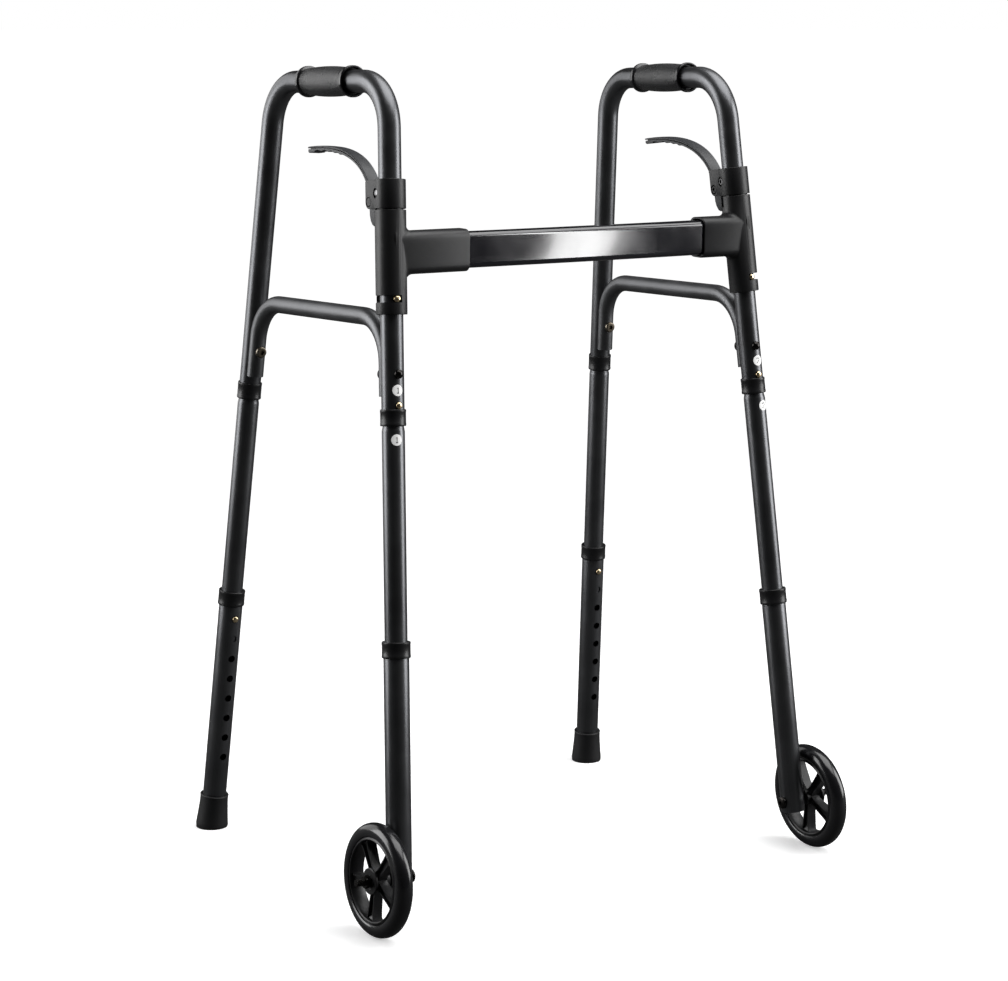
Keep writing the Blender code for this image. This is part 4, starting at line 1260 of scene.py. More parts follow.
@dataclass
class HingeHousing:
    """The moulded T-housing: a sleeve on the front leg and a flared socket for the crossbar."""

    front: Leg
    low: float = 0.6815
    top: float = 0.7952
    radius: float = 0.0173
    socket: tuple[float, float] = (0.030, 0.047)
    fillet: float = 0.0075
    slot_height: float = 0.0080
    slot_travel: float = math.radians(116)
    groove: tuple[float, float] = (0.0150, 0.0122)
    mouth: dict[Side, float] = field(default_factory=lambda: {Side.RIGHT: 0.146, Side.LEFT: 0.1767})
    fold: dict[Side, float] = field(default_factory=lambda: {Side.RIGHT: 83.0, Side.LEFT: 70.0})

    def reach(self, crossing: Vector, a: float, b: float, radius: float) -> float:
        """How far inward, along X, a line leaves the sleeve.

        Args:
            crossing: Where the leg's axis meets the socket's height.
            a: The line's place along Y from there.
            b: Its place along Z from there.
            radius: Radius of the skin that it leaves.

        Returns:
            The distance from the crossing.
        """
        start = self.front.local(crossing + Vector((0, a, b)))
        way = self.front.matrix.inverted().to_3x3() @ Vector((-self.front.side.value, 0, 0))
        p, d = start.xy, way.xy
        half, rest = p.dot(d), p.dot(p) - radius**2
        return (-half + math.sqrt(max(half * half - d.dot(d) * rest, 0.0))) / d.dot(d)

    def socket_rings(self, crossing: Vector) -> list[list[Vector]]:
        """Sections of the socket: from inside the sleeve, over the fillet, to the mouth.

        Args:
            crossing: Where the leg's axis meets the socket's height.

        Returns:
            The sections, in the leg's frame.
        """
        outline = rounded_rect(*self.socket, 0.0085, 8)
        ways = outward(outline)
        sign, skin = self.front.side.value, self.radius - 0.0005
        rings = []
        for k in range(-1, 10):
            swing = math.pi / 2 * max(k, 0) / 9
            grow, run = 1 - math.sin(swing), 1 - math.cos(swing)
            ring = []
            for (a, b), (na, nb) in zip(outline, ways):
                wide, tall = 0.0010 * na, self.fillet * nb
                first = self.reach(crossing, a + wide, b + tall, skin)
                last = self.reach(crossing, a, b, skin) + self.fillet * (0.55 + 0.45 * abs(nb))
                inward = first - 0.0038 if k < 0 else first + (last - first) * run
                spot = crossing + Vector((-sign * inward, a + wide * grow, b + tall * grow))
                ring.append(self.front.local(spot))
            rings.append(ring)
        mouth = abs(crossing.x) - self.mouth[self.front.side]
        for inward, less in ((mouth - 0.0012, 0.0), (mouth - 0.0004, 0.0003), (mouth, 0.0009)):
            spots = [(a - na * less, b - nb * less) for (a, b), (na, nb) in zip(outline, ways)]
            rings.append([self.front.local(crossing + Vector((-sign * inward, a, b))) for a, b in spots])
        return rings

    def build(self, bar: Crossbar) -> None:
        """Builds the housing round the crossbar's end.

        Args:
            bar: The crossbar, whose section the socket follows.
        """
        front, side = self.front, self.front.side
        crossing = front.crossing(PLACES.bar_level)
        bm = turned(softened(sleeve(0, self.radius, self.low, self.top), 0.0007), 96)
        half, margin = self.slot_height / 2, 0.0038 / STOCK.radius
        button, angle = PLACES.fold_button
        start, stop = angle - margin, angle + self.slot_travel + margin
        slot = sector(0.0105, 0.022, button - half, button + half, start, stop)
        low, high, turn = self.top - self.groove[1], self.top + 0.002, math.radians(18)
        stop = math.pi + math.radians(self.fold[side]) + turn
        groove = sector(self.groove[0], 0.022, low, high, math.pi - turn, stop)
        for cutter in (slot, groove):
            bm = combined(bm, mirrored(cutter) if side is Side.RIGHT else cutter)
        bm = combined(bm, loft(self.socket_rings(crossing)), Operation.JOIN)
        mouth = self.mouth[side]
        steps = [(0.206, STOCK.gap), (mouth + 0.0080, STOCK.gap), (mouth + 0.0078, 0.0015)]
        steps += [(mouth + 0.0005, 0.0015), (mouth - 0.0010, 0.0026)]
        pocket = [[front.local(p) for p in bar.section(side.value * x, grow)] for x, grow in steps]
        bm = combined(bm, loft(pocket))
        bm = combined(bm, rod((0, 0, self.low - 0.01), (0, 0, self.top + 0.01), STOCK.over_upper, 72))
        front.fit("housing_moulding", bm, HOUSING, "bar", ["hinge_housing"], mirror=False)
        LOG.info("%s housing reaches in to %.3f m", side.label, mouth)


@dataclass
class Crossbar:
    """The bowed flat-oval bar between the housings."""

    middle_y: float
    middle_z: float = PLACES.bar_level
    half: float = 0.2040
    height: float = 0.0400
    depth: float = 0.0225
    corner: float = 0.0065
    wall: float = 0.0020
    bow: float = 0.0040

    def section(self, x: float, growth: float) -> list[Vector]:
        """Lays out the bar's rounded section.

        Args:
            x: Its distance from the bar's middle.
            growth: Clearance by which it grows.

        Returns:
            Its points.
        """
        bow = self.bow * (1 - (x / self.half) ** 2)
        outline = rounded_rect(self.depth + 2 * growth, self.height + 2 * growth, self.corner + growth)
        return [Vector((x, self.middle_y - bow + a, self.middle_z + b)) for a, b in outline]

    def build(self) -> None:
        """Builds the hollow bar."""
        stations = [-self.half + 2 * self.half * k / 48 for k in range(49)]
        bm = loft([self.section(x, 0) for x in stations], [self.section(x, -self.wall) for x in stations])
        bar = make_object("crossbar_tube", bm, BAR, Matrix())
        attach(bar, "bar")
        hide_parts("crossbar")


@dataclass
class ReleaseCollar:
    """The collar above the housing, with its screw and the lever's pin."""

    front: Leg
    low: float = 0.7964
    top: float = 0.8284
    radius: float = 0.0173
    cheek: float = 0.0143
    rear: float = 0.0285
    slot: float = 0.0083
    neck_radius: float = 0.0142
    screw_seat: float = 0.0139
    screw_top: float = 0.0160
    screw_radius: float = 0.0042
    axle_radius: float = 0.0047

    def cheeks(self) -> BMesh:
        """Lofts the block behind the sleeve.

        Returns:
            The block, whose sides run into the sleeve and whose rear corners are round.
        """
        low, high = self.low + 0.0003, self.top - 0.0003
        bend, small, rings = 0.0080, 0.0022, []
        stations = [0.0020, 0.0055, 0.0090, 0.0125, 0.0160, self.rear - bend]
        stations += [self.rear - bend * (1 - math.sin(math.radians(a))) for a in range(10, 91, 10)]
        for y in stations:
            lean = min(max((y - 0.0055) / 0.0105, 0.0), 1.0)
            half = 0.0163 + (self.cheek - 0.0163) * lean
            past, over = max(y - self.rear + bend, 0.0), max(y - self.rear + small, 0.0)
            foot = low + bend - math.sqrt(max(bend**2 - past**2, 0.0))
            head = high - small + math.sqrt(max(small**2 - over**2, 0.0))
            rings.append([Vector((a, y, b)) for a, b in sleeve(-half, half, foot, head)])
        return eased(loft(rings), 0.0006)

    def build(self) -> None:
        """Builds the collar and its two pins."""
        front = self.front
        neck = self.low - 0.0009
        outline = softened(sleeve(0, self.radius, self.low, self.top), 0.0007)
        outline = [(0, neck), (self.neck_radius, neck), (self.neck_radius, self.low), *outline[1:]]
        bm = combined(turned(outline, 96), self.cheeks(), Operation.JOIN)
        low, high = self.low - 0.01, self.top + 0.01
        bm = combined(bm, box((-self.slot, 0.0155, low), (self.slot, self.rear + 0.01, high)))
        bm = combined(bm, rod((0, 0, low), (0, 0, high), STOCK.over_upper, 72))
        pivot, screw = PLACES.lever_pivot, PLACES.collar_screw
        for place, seat, recess in ((pivot, self.cheek - 0.0036, 0.0056), (screw, self.screw_seat, 0.0058)):
            outline = [(0.0024, seat), (recess, seat), (recess, 0.022), (0, 0.022)]
            outline = [(r, -x) for r, x in reversed(outline)] + outline
            bm = combined(bm, turned(outline, 48, (0, *place), (1, 0, 0)))
        front.fit("release_collar", bm, HOUSING, "frame", ["trigger_collar"])
        seat, face = self.cheek - 0.0033, self.cheek - 0.0002
        r = self.axle_radius
        flush = [(r, face - 0.0003), (r - 0.0003, face), (0, face)]
        self.build_pin("lever_axle", "lever_pin", pivot, r, seat, flush, PIN_CAP)
        seat, r = self.screw_seat + 0.0003, self.screw_radius
        rim, turns = seat + 0.0005, [math.radians(a) for a in range(0, 91, 10)]
        dome = [(r * math.cos(a), rim + (self.screw_top - rim) * math.sin(a)) for a in turns]
        self.build_pin("collar_screw", "collar_rivet", screw, r, seat, dome, SCREW)

    def build_pin(self, name: str, node: str, place: tuple[float, float], radius: float, seat: float,
                  outer: Profile, finish: Finish) -> None:
        """A cross pin: a shaped head on the outer side, and a socket head on the inner side.

        Args:
            name: The piece's name.
            node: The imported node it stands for.
            place: Distance behind the leg axis, and height along it.
            radius: Radius of its heads.
            seat: Where the heads start, along X.
            outer: The outer head's outline, from its rim to its middle.
            finish: Its finish.
        """
        face = max(x for _, x in outer)
        shank = 0.0020
        inner = [(0, -face), (radius - 0.0008, -face), (radius, -face + 0.0006)]
        inner += [(radius, -seat), (shank, -seat)]
        bm = turned([*inner, (shank, seat), (radius, seat), *outer], 48, (0, *place), (1, 0, 0))
        mouth, floor = -face - 0.001, -face + 0.0014
        socket = [(0, mouth), (0.0028, mouth), (0.0026, floor), (0, floor)]
        bm = combined(bm, turned(socket, 6, (0, *place), (1, 0, 0)))
        self.front.fit(name, bm, finish, "frame", [node])


@dataclass
class ReleaseLever:
    """The squeeze lever that lifts the fold lock, with its torsion spring."""

    front: Leg
    half: float = 0.0078
    hub: float = 0.0060
    curve: tuple = ((0.0290, 0.8085), (0.0380, 0.8460), (0.0750, 0.8730), (0.1655, 0.8722))
    thick: float = 0.0058
    waves: int = 4
    wave_start: float = 0.648
    wave_run: float = 0.066
    bulge_start: float = 0.935
    bulge: float = 0.0017
    tooth: float = 0.0036

    def along(self, t: float) -> tuple[Vector, Vector]:
        """A point of the arm's middle line, and its direction.

        Args:
            t: From 0 at the hub to 1 at the tip.

        Returns:
            The point and the direction, both as (behind, high).
        """
        p = [Vector(q) for q in self.curve]
        s = 1 - t
        at = p[0] * s**3 + p[1] * 3 * s * s * t + p[2] * 3 * s * t * t + p[3] * t**3
        way = (p[1] - p[0]) * s * s + (p[2] - p[1]) * 2 * s * t + (p[3] - p[2]) * t * t
        return at, way.normalized()

    def below(self, t: float) -> float:
        """How far the underside stands out: gentle finger waves, and the thicker tip.

        Args:
            t: From 0 at the hub to 1 at the tip.

        Returns:
            The distance.
        """
        if t > self.bulge_start:
            return self.bulge * min(1.0, (t - self.bulge_start) / 0.007)
        if 0 < t - self.wave_start < self.wave_run * self.waves:
            return 0.00055 * (1 - math.cos(math.tau * (t - self.wave_start) / self.wave_run))
        return 0.0

    def arm(self) -> BMesh:
        """Lofts the arm along its middle line.

        Returns:
            A crowned strap over a web, with a groove between them and finger waves below.
        """
        rings, steps = [], 120
        for k in range(steps + 1):
            t = 0.10 + 0.90 * k / steps
            at, way = self.along(t)
            under = Vector((way.y, -way.x))
            thick = self.thick * (1 - 0.08 * t) / 2
            closing = max(0.0, (t - 0.992) / 0.008)
            w = self.half - 0.0007 * closing**2
            low, top = thick + self.below(t) - 0.0005 * closing, 0.0003 * closing - thick
            section = [(0.0, low), (w - 0.0014, low), (w - 0.0005, low - 0.0009), (w - 0.0005, top + 0.0029)]
            section += [(w - 0.0040, top + 0.0027), (w - 0.0040, top + 0.0015), (w, top + 0.0014)]
            section += [(w, top + 0.0005), (w - 0.0005, top), (w * 0.5, top - 0.0002), (0.0, top - 0.0003)]
            section += [(-a, b) for a, b in reversed(section[1:-1])]
            rings.append([Vector((a, at.x + under.x * b, at.y + under.y * b)) for a, b in section])
        return loft(rings)

    def build(self) -> None:
        """Builds the lever and its spring."""
        py, pz = PLACES.lever_pivot
        tail = [(0.0181, 0.7980), (0.0182, 0.7815), (0.0198, 0.7790), (0.0225, 0.7783), (0.0260, 0.7803)]
        tail += [(0.0292, 0.7848), (0.0309, 0.7905), (0.0312, 0.7975), (0.0318, 0.8060)]
        for stations, lift in (((0.06, 0.10, 0.14, 0.18), 0.45), ((0.18, 0.12, 0.06), -0.45)):
            for t in stations:
                at, way = self.along(t)
                tail.append((at.x + way.y * self.thick * lift, at.y - way.x * self.thick * lift))
        tail += arc(PLACES.lever_pivot, self.hub, 62, 215, 14)
        bm = eased(prism(tail, -self.half + 0.0001, self.half - 0.0001), 0.0005)
        bm = combined(bm, self.arm(), Operation.JOIN)
        bm = combined(bm, box((-self.tooth, 0.0156, 0.7864), (self.tooth, 0.0210, 0.7946)), Operation.JOIN)
        bm = combined(bm, rod((-0.02, py, pz), (0.02, py, pz), 0.0023, 32))
        bm = combined(bm, rod((-0.0027, py, pz), (0.0027, py, pz), 0.0043, 32))
        self.front.fit("release_lever", bm, LEVER, "lever", ["trigger_lever"])
        self.build_spring()

    def build_spring(self) -> None:
        """The torsion spring round the lever's pin."""
        py, pz = PLACES.lever_pivot
        turns, coil, pitch, steps = 2.75, 0.0033, 0.0013, 28
        route = []
        for k in range(int(turns * steps) + 1):
            a = math.tau * k / steps
            along = pitch * (k / steps - turns / 2)
            route.append(Vector((along, py + coil * math.cos(a), pz + coil * math.sin(a))))
        self.front.fit("torsion_spring", tube_along(route, 0.0005, 0, 10), STEEL, "frame", ["lever_spring"])


@dataclass
class LegSections:
    """The telescopic sections of one leg: middle tube, lower tube, rings and snap buttons."""

    leg: Leg
    upper_ring: tuple[float, float]
    lower_ring: tuple[float, float]
    low: float
    upper_facing: Facing
    hole_facing: Facing
    neck_radius: float = 0.0110
    neck_bore: float = 0.0096
    pitch: float = 0.0254
    holes: int = 8

    @property
    def button(self) -> float:
        """Height of the lower snap button."""
        return self.lower_ring[0] - 0.0155

    @property
    def upper_button(self) -> float:
        """Height of the upper snap button."""
        return self.upper_ring[1] + 0.0041

    def build(self) -> None:
        """Builds the sections, rings and buttons."""
        end = self.leg.end
        self.build_middle(end)
        self.build_lower(end)
        self.build_ring("upper", self.upper_ring, 0.01435, STOCK.over_upper, None, "frame")
        self.build_ring("lower", self.lower_ring, 0.0161, STOCK.over_lower, STOCK.over_upper, f"{end}_foot")
        upper, lower = self.upper_facing.value, self.hole_facing.value
        SnapButton(self.leg, f"{end}_upper_button", self.upper_button, upper, 0.0152).build()
        SnapButton(self.leg, f"{end}_lower_button", self.button, lower, 0.0168).build()

    def build_middle(self, end: str) -> None:
        """The middle tube, swaged to a neck at its top.

        Args:
            end: "front" or "rear".
        """
        low, shoulder = self.button - 0.038, sum(self.upper_ring) / 2 - 0.0015
        top, waist = self.upper_ring[1] + 0.024, self.upper_ring[0]
        r, neck, bore = STOCK.radius, self.neck_radius, self.neck_bore
        outline = [(STOCK.bore, low), (r - 0.0004, low), (r, low + 0.0004), (r, waist - 0.0060)]
        outline += [(r - 0.0003, waist - 0.0042), (r - 0.0010, waist - 0.0008)]
        outline += [(r - 0.0012, shoulder - 0.0015), (neck, shoulder), (neck, top), (bore, top)]
        outline += [(bore, shoulder - 0.0030), (STOCK.bore, shoulder - 0.0060)]
        bm = turned(outline, STOCK.sides)
        ways = ((self.upper_button, self.upper_facing), (self.button, self.hole_facing))
        cutters = [self.hole(high, facing) for high, facing in ways]
        bm = combined(bm, joined(*cutters))
        self.leg.fit(f"{end}_middle_section", bm, TUBE, "frame", [f"{end}_mid_tube"])

    def build_lower(self, end: str) -> None:
        """The lower tube with its row of height holes; the front one has the axle hole too.

        Args:
            end: "front" or "rear".
        """
        top = self.lower_ring[1] - 0.0033
        outline = sleeve(STOCK.over_upper, STOCK.lower_radius, self.low, top)
        bm = turned(softened(outline, 0.0003, 2), STOCK.sides)
        cutters = [self.hole(self.button - self.pitch * k, self.hole_facing) for k in range(self.holes)]
        if end == "front":
            high = self.leg.axle
            cutters.append(rod((-0.03, 0, high), (0.03, 0, high), WHEEL_SIZES.bore, 32))
        bm = combined(bm, joined(*cutters))
        self.leg.fit(f"{end}_lower_section", bm, TUBE, f"{end}_foot", [f"{end}_lower_tube"])

    def hole(self, high: float, facing: Facing) -> BMesh:
        """A cutter for one hole in the wall that faces a way."""
        base, way = Vector((0, 0, high)), polar(facing.value)
        return rod(base + way * 0.004, base + way * 0.018, STOCK.button_hole, 32)

    def build_ring(self, which: str, span: tuple[float, float], radius: float, bore: float,
                   lip: float | None, body: str) -> None:
        """A plastic ring with a shallow waist and rolled edges.

        Args:
            which: "upper" or "lower".
            span: Its low and high end along the leg.
            radius: Its outer radius.
            bore: Its bore radius.
            lip: The bore of its top lip, where it covers a tube's end.
            body: The body it rides on.
        """
        low, high = span
        outer: Profile = [(bore, low)]
        outer += arc((radius - 0.0009, low + 0.0009), 0.0009, -90, 0, 4)
        outer += [(radius, low + 0.0032), (radius - 0.0002, low + 0.0036)]
        outer += [(radius - 0.0002, high - 0.0036), (radius, high - 0.0032)]
        outer += arc((radius - 0.0009, high - 0.0009), 0.0009, 0, 90, 4)
        if lip:
            outer += [(lip + 0.0003, high), (lip, high - 0.0003), (lip, high - 0.003), (bore, high - 0.003)]
        else:
            outer += [(bore, high)]
        end = self.leg.end
        bm = turned(outer, 64)
        self.leg.fit(f"{end}_{which}_band", bm, RING, body, [f"{end}_{which}_ring"])


@dataclass
class SnapButton:
    """A brass snap button and the near half of its leaf spring."""

    leg: Leg
    node: str
    high: float
    angle: float
    tip: float
    radius: float = 0.0037
    leaf: tuple[float, float, float, float] = (0.0080, 0.0008, 0.0070, 0.026)

    def build(self) -> None:
        """Builds the button with its domed end, and its leaf."""
        depth, thick, width, length = self.leaf
        way = polar(self.angle)
        r, tip = self.radius, self.tip
        dome = [(0, depth), (r, depth), (r, tip - 0.0017)]
        turns = [math.radians(a) for a in range(12, 90, 13)]
        dome += [(r * math.cos(a), tip - 0.0017 + 0.0017 * math.sin(a)) for a in turns]
        dome += [(0, tip)]
        bm = turned(dome, 32, (0, 0, self.high), tuple(way))
        across = Vector((0, 0, 1)).cross(way)
        half, inner = width / 2, depth - thick
        rings = []
        for rise, lift in ((-length, inner - 0.0012), (-length * 0.5, inner), (r * 1.6, inner)):
            middle = Vector((0, 0, self.high + rise)) + way * lift
            corners = ((-half, 0), (half, 0), (half, thick + 0.0001), (-half, thick + 0.0001))
            rings.append([middle + across * a + way * b for a, b in corners])
        bm = combined(bm, loft(rings), Operation.JOIN)
        self.leg.fit(f"{self.node}_snap", bm, BRASS, f"{self.node}_body", [self.node])


@dataclass(frozen=True)
class WheelSizes:
    """Sizes of a front wheel."""

    radius: float = 0.0635
    offset: float = 0.0275
    half: float = 0.0102
    seat: float = 0.0480
    rim: float = 0.0440
    disc: float = 0.0147
    barrel: float = 0.0095
    spokes: int = 5
    bore: float = 0.0043


WHEEL_SIZES = WheelSizes()


@dataclass
class FrontWheel:
    """A five-spoke wheel with its tyre, axle bolt and nut."""

    front: Leg
    sizes: WheelSizes = WHEEL_SIZES
    turn: float = math.radians(47)

    def build(self) -> None:
        """Builds the wheel's pieces."""
        high = self.front.axle
        centre = (self.sizes.offset, 0.0, high)
        self.build_hub(centre)
        self.build_tyre(centre)
        self.build_bolt(high)
        self.build_nut(high)

    def spoke(self, centre: Point, turn: Matrix) -> BMesh:
        """A spoke that widens to the rim, with a channel down each face.

        Args:
            centre: The wheel's middle.
            turn: The spoke's turn about the axle.

        Returns:
            The closed mesh.
        """
        rings, steps, root = [], 8, 0.0078
        for k in range(steps + 1):
            s = k / steps
            r = root + (self.sizes.rim + 0.0016 - root) * s
            flare = 0.0020 * max(0.0, 1 - s * 4) ** 2 + 0.0022 * max(0.0, s * 5 - 4) ** 2
            width = 0.0038 + 0.0022 * s + flare
            thick = 0.0054 + 0.0006 * s
            lip, floor = 0.0015, thick - 0.0032 * min(1.0, s * 6) * min(1.0, (1 - s) * 8 + 0.2)
            outline = [(thick, -width), (thick, -width + lip), (floor, -width + lip + 0.0004)]
            outline += [(floor, width - lip - 0.0004), (thick, width - lip), (thick, width)]
            outline += [(-a, b) for a, b in reversed(outline)]
            rings.append([Vector(centre) + turn @ Vector((a, b, r)) for a, b in outline])
        return loft(rings)

    def build_hub(self, centre: Point) -> None:
        """The moulded wheel: hub, spokes and rim."""
        s = self.sizes
        hub = [(s.bore, -0.0110), (s.barrel - 0.0006, -0.0110), (s.barrel, -0.0104)]
        hub += [(s.barrel + 0.0004, 0.0050)]
        hub += arc((s.barrel + 0.0030, 0.0056), 0.0026, 180, 90, 4)
        hub += [(s.disc - 0.0004, 0.0082), (s.disc, 0.0086), (s.disc, 0.0105), (s.disc - 0.0006, 0.0110)]
        hub += [(0.0085, 0.0110), (0.0081, 0.0106), (0.0068, 0.0106), (0.0066, 0.0110), (s.bore, 0.0110)]
        bm = turned(hub, 64, centre, (1, 0, 0))
        rim = [(s.rim, 0.0), (s.rim + 0.0003, -0.0050), (s.rim + 0.0008, -0.0078), (s.rim + 0.0010, -0.0086)]
        rim += [(s.rim + 0.0018, -0.0092), (s.rim + 0.0026, -0.0090), (s.seat, -0.0082)]
        rim += [(r, -x) for r, x in reversed(rim[1:])]
        bm = combined(bm, turned(rim, 128, centre, (1, 0, 0)), Operation.JOIN)
        for k in range(s.spokes):
            turn = Matrix.Rotation(math.tau * k / s.spokes + self.turn, 3, "X")
            bm = combined(bm, self.spoke(centre, turn), Operation.JOIN)
        self.front.fit("wheel_moulding", bm, WHEEL, "rolling", ["wheel"])

    def build_tyre(self, centre: Point) -> None:
        """The smooth tyre, round from bead to bead."""
        s = self.sizes
        middle, swell = s.radius - 0.0098, 0.0098
        tread = [(s.seat + STOCK.gap, -0.0079)]
        for degrees in range(-28, 90, 6):
            a = math.radians(degrees)
            tread.append((middle + swell * math.sin(a), -s.half * math.cos(a) ** 0.92))
        tread += [(s.radius, -0.0002)]
        outline = tread + [(r, -x) for r, x in reversed(tread)]
        self.front.fit("tyre_ring", turned(outline, 128, centre, (1, 0, 0)), TYRE, "rolling", ["tyre"])

    def build_bolt(self, high: float) -> None:
        """The axle bolt, with a domed socket head and a threaded stud."""
        reach, r, start, end, head = STOCK.over_lower, 0.0040, 0.0395, 0.0557, 0.0074
        steps, pitch, depth = 32, 0.00125, 0.00042
        turns = [math.radians(a) for a in range(10, 91, 10)]
        plain = [(head * math.sin(a), -reach - 0.0014 - 0.0024 * math.cos(a)) for a in turns]
        rings = [[place] * steps for place in (*plain, (head, -reach), (r, -reach), (r, start))]
        count = int((end - start) / pitch * 6)
        for k in range(count + 1):
            x = start + (end - start) * k / count
            fade = min(1.0, k / 6, (count - k) / 8 + 0.15)
            ring = []
            for j in range(steps):
                phase = (x / pitch - j / steps) % 1.0
                ring.append((r - depth * fade * abs(2 * phase - 1), x))
            rings.append(ring)
        rings.append([(r - 0.0012, end + 0.0001)] * steps)
        made = []
        for ring in rings:
            points = []
            for j, (radius, x) in enumerate(ring):
                a = math.tau * j / steps
                points.append(Vector((x, radius * math.cos(a), high + radius * math.sin(a))))
            made.append(points)
        mouth, floor = -reach - 0.006, -reach - 0.0020
        socket = [(0, mouth), (0.0029, mouth), (0.0026, floor), (0, floor)]
        bm = combined(loft(made), turned(socket, 6, (0, 0, high), (1, 0, 0)))
        self.front.fit("axle_stud", bm, BLACK_STEEL, "front_foot", ["axle_bolt"])

    def build_nut(self, high: float) -> None:
        """The hexagon nut, with turned-off corners."""
        start = self.sizes.offset + 0.0110 + STOCK.gap
        stop, apothem, bore, steps = start + 0.0065, 0.0065, 0.0046, 72
        rings, holes = [], []
        spans = [(start, 1.02), (start + 0.0010, 1.16), (stop - 0.0010, 1.16), (stop, 1.02)]
        for x, cap in spans:
            points, inner = [], []
            for j in range(steps):
                a = math.tau * j / steps
                hexagon = apothem / math.cos((a + math.pi / 6) % (math.pi / 3) - math.pi / 6)
                r = min(hexagon, apothem * cap)
                points.append(Vector((x, r * math.cos(a), high + r * math.sin(a))))
                inner.append(Vector((x, bore * math.cos(a), high + bore * math.sin(a))))
            rings.append(points)
            holes.append(inner)
        self.front.fit("axle_hex_nut", loft(rings, holes), BLACK_STEEL, "front_foot", ["axle_nut"])


@dataclass
class FloorTip:
    """The flared rubber tip of a rear leg."""

    rear: Leg
    top_radius: float = 0.0172
    foot_radius: float = 0.0198
    height: float = 0.0430
    tube_low: float = 0.0100

    def build(self) -> None:
        """Builds the tip, its sole cut level with the floor."""
        bore, r = STOCK.over_lower, self.foot_radius
        outline: Profile = [(0, -0.006), (r - 0.0012, -0.006), (r - 0.0003, 0.0022), (r, 0.0040)]
        for k in range(1, 15):
            flare = (r - self.top_radius) * (1 - k / 14) ** 1.25
            outline.append((self.top_radius + flare, 0.0040 + 0.0320 * k / 14))
        outline += [(self.top_radius, self.height - 0.0012)]
        outline += arc((self.top_radius - 0.0007, self.height - 0.0010), 0.0010, 0, 90, 4)
        outline += [(bore, self.height), (bore, self.tube_low - STOCK.gap), (0, self.tube_low - STOCK.gap)]
        bm = turned(outline, 72)
        if self.rear.side is Side.RIGHT:
            mirrored(bm)
        into = self.rear.matrix.inverted()
        cut = bmesh.ops.bisect_plane(
            bm, geom=[*bm.verts, *bm.edges, *bm.faces], dist=1e-7, plane_co=into @ Vector((0, 0, 0)),
            plane_no=into.to_3x3() @ Vector((0, 0, 1)), clear_inner=True,
        )
        edges = [e for e in cut["geom_cut"] if isinstance(e, bmesh.types.BMEdge)]
        bmesh.ops.edgeloop_fill(bm, edges=edges)
        self.rear.fit("tip_boot", bm, TIP, "rear_foot", ["tip"], mirror=False)


@dataclass
class NumberLabels:
    """Round number labels on the front leg, one above and one below the upper ring."""

    front: Leg
    digit: str
    heights: tuple[float, float] = (0.5990, 0.5450)
    turns: tuple[float, float] = (0.09, 0.25)
    radius: float = 0.0062

    def wrapped(self, u: float, v: float, number: int, lift: float) -> Vector:
        """Lays a flat point of a label round the front of the tube.

        Args:
            u: Distance across the label.
            v: Distance up the label.
            number: Which label.
            lift: Height above the tube's skin.

        Returns:
            The point in the leg's frame.
        """
        r = STOCK.radius + lift
        angle = u / r + self.turns[number] * self.front.side.value
        return Vector((r * math.sin(angle), -r * math.cos(angle), self.heights[number] + v))

    def strokes(self) -> list[list[tuple[float, float]]]:
        """The digit's pen strokes, in millimetres about its middle."""
        if self.digit == "1":
            return [[(-1.3, 1.9), (0.2, 3.1), (0.2, -3.0)], [(-1.3, -3.0), (1.6, -3.0)]]
        turns = [math.radians(a) for a in range(165, -46, -15)]
        curve = [(1.8 * math.cos(a), 1.25 + 1.75 * math.sin(a)) for a in turns]
        return [[*curve, (-1.9, -3.0)], [(-1.9, -3.0), (2.0, -3.0)]]

    def build(self) -> None:
        """Builds both labels with their digit."""
        for number in range(len(self.heights)):
            disc = [arc((0.0, 0.0), self.radius * ring / 6, 0, 360, 48)[:-1] for ring in range(1, 7)]
            top = [[self.wrapped(u, v, number, 0.00022) for u, v in ring] for ring in disc]
            back = [[self.wrapped(u, v, number, 0.00006) for u, v in ring] for ring in reversed(disc)]
            bm = loft([*top, *back])
            self.front.fit(f"label_{number}", bm, LABEL, "frame", mirror=False)
            self.build_digit(number)

    def build_digit(self, number: int) -> None:
        """Lays the digit's strokes on a label as thin raised ink.

        Args:
            number: Which label.
        """
        ink = []
        for stroke in self.strokes():
            points = [Vector((a / 1000, b / 1000)) for a, b in stroke]
            rings = []
            for k, p in enumerate(points):
                way = (points[min(k + 1, len(points) - 1)] - points[max(k - 1, 0)]).normalized()
                side = Vector((-way.y, way.x)) * 0.00048
                corners = ((p + side, 0.00018), (p - side, 0.00018), (p - side, 0.00030), (p + side, 0.00030))
                rings.append([self.wrapped(q.x, q.y, number, lift) for q, lift in corners])
            ink.append(loft(rings))
        self.front.fit(f"label_digit_{number}", joined(*ink), INK, "frame", mirror=False)


# ------------------------------------------------------------------------------
# Studio
# ------------------------------------------------------------------------------


@dataclass(frozen=True)
class SoftBox:
    """A rectangular soft light that faces a point above the floor's middle."""

    name: str
    place: Point
    size: tuple[float, float]
    power: float
    aim: float = 0.60

    def hang(self) -> bpy.types.Object:
        """Hangs the light, out of the camera's sight.

        Returns:
            The light.
        """
        data = bpy.data.lights.new(self.name, "AREA")
        data.shape, data.energy = "RECTANGLE", self.power
        data.size, data.size_y = self.size
        light = bpy.data.objects.new(self.name, data)
        way = Vector((0.0, 0.0, self.aim)) - Vector(self.place)
        turn = way.to_track_quat("-Z", "Y").to_matrix().to_4x4()
        light.matrix_world = Matrix.Translation(self.place) @ turn
        light.visible_camera = False
        bpy.context.scene.collection.objects.link(light)
        return light


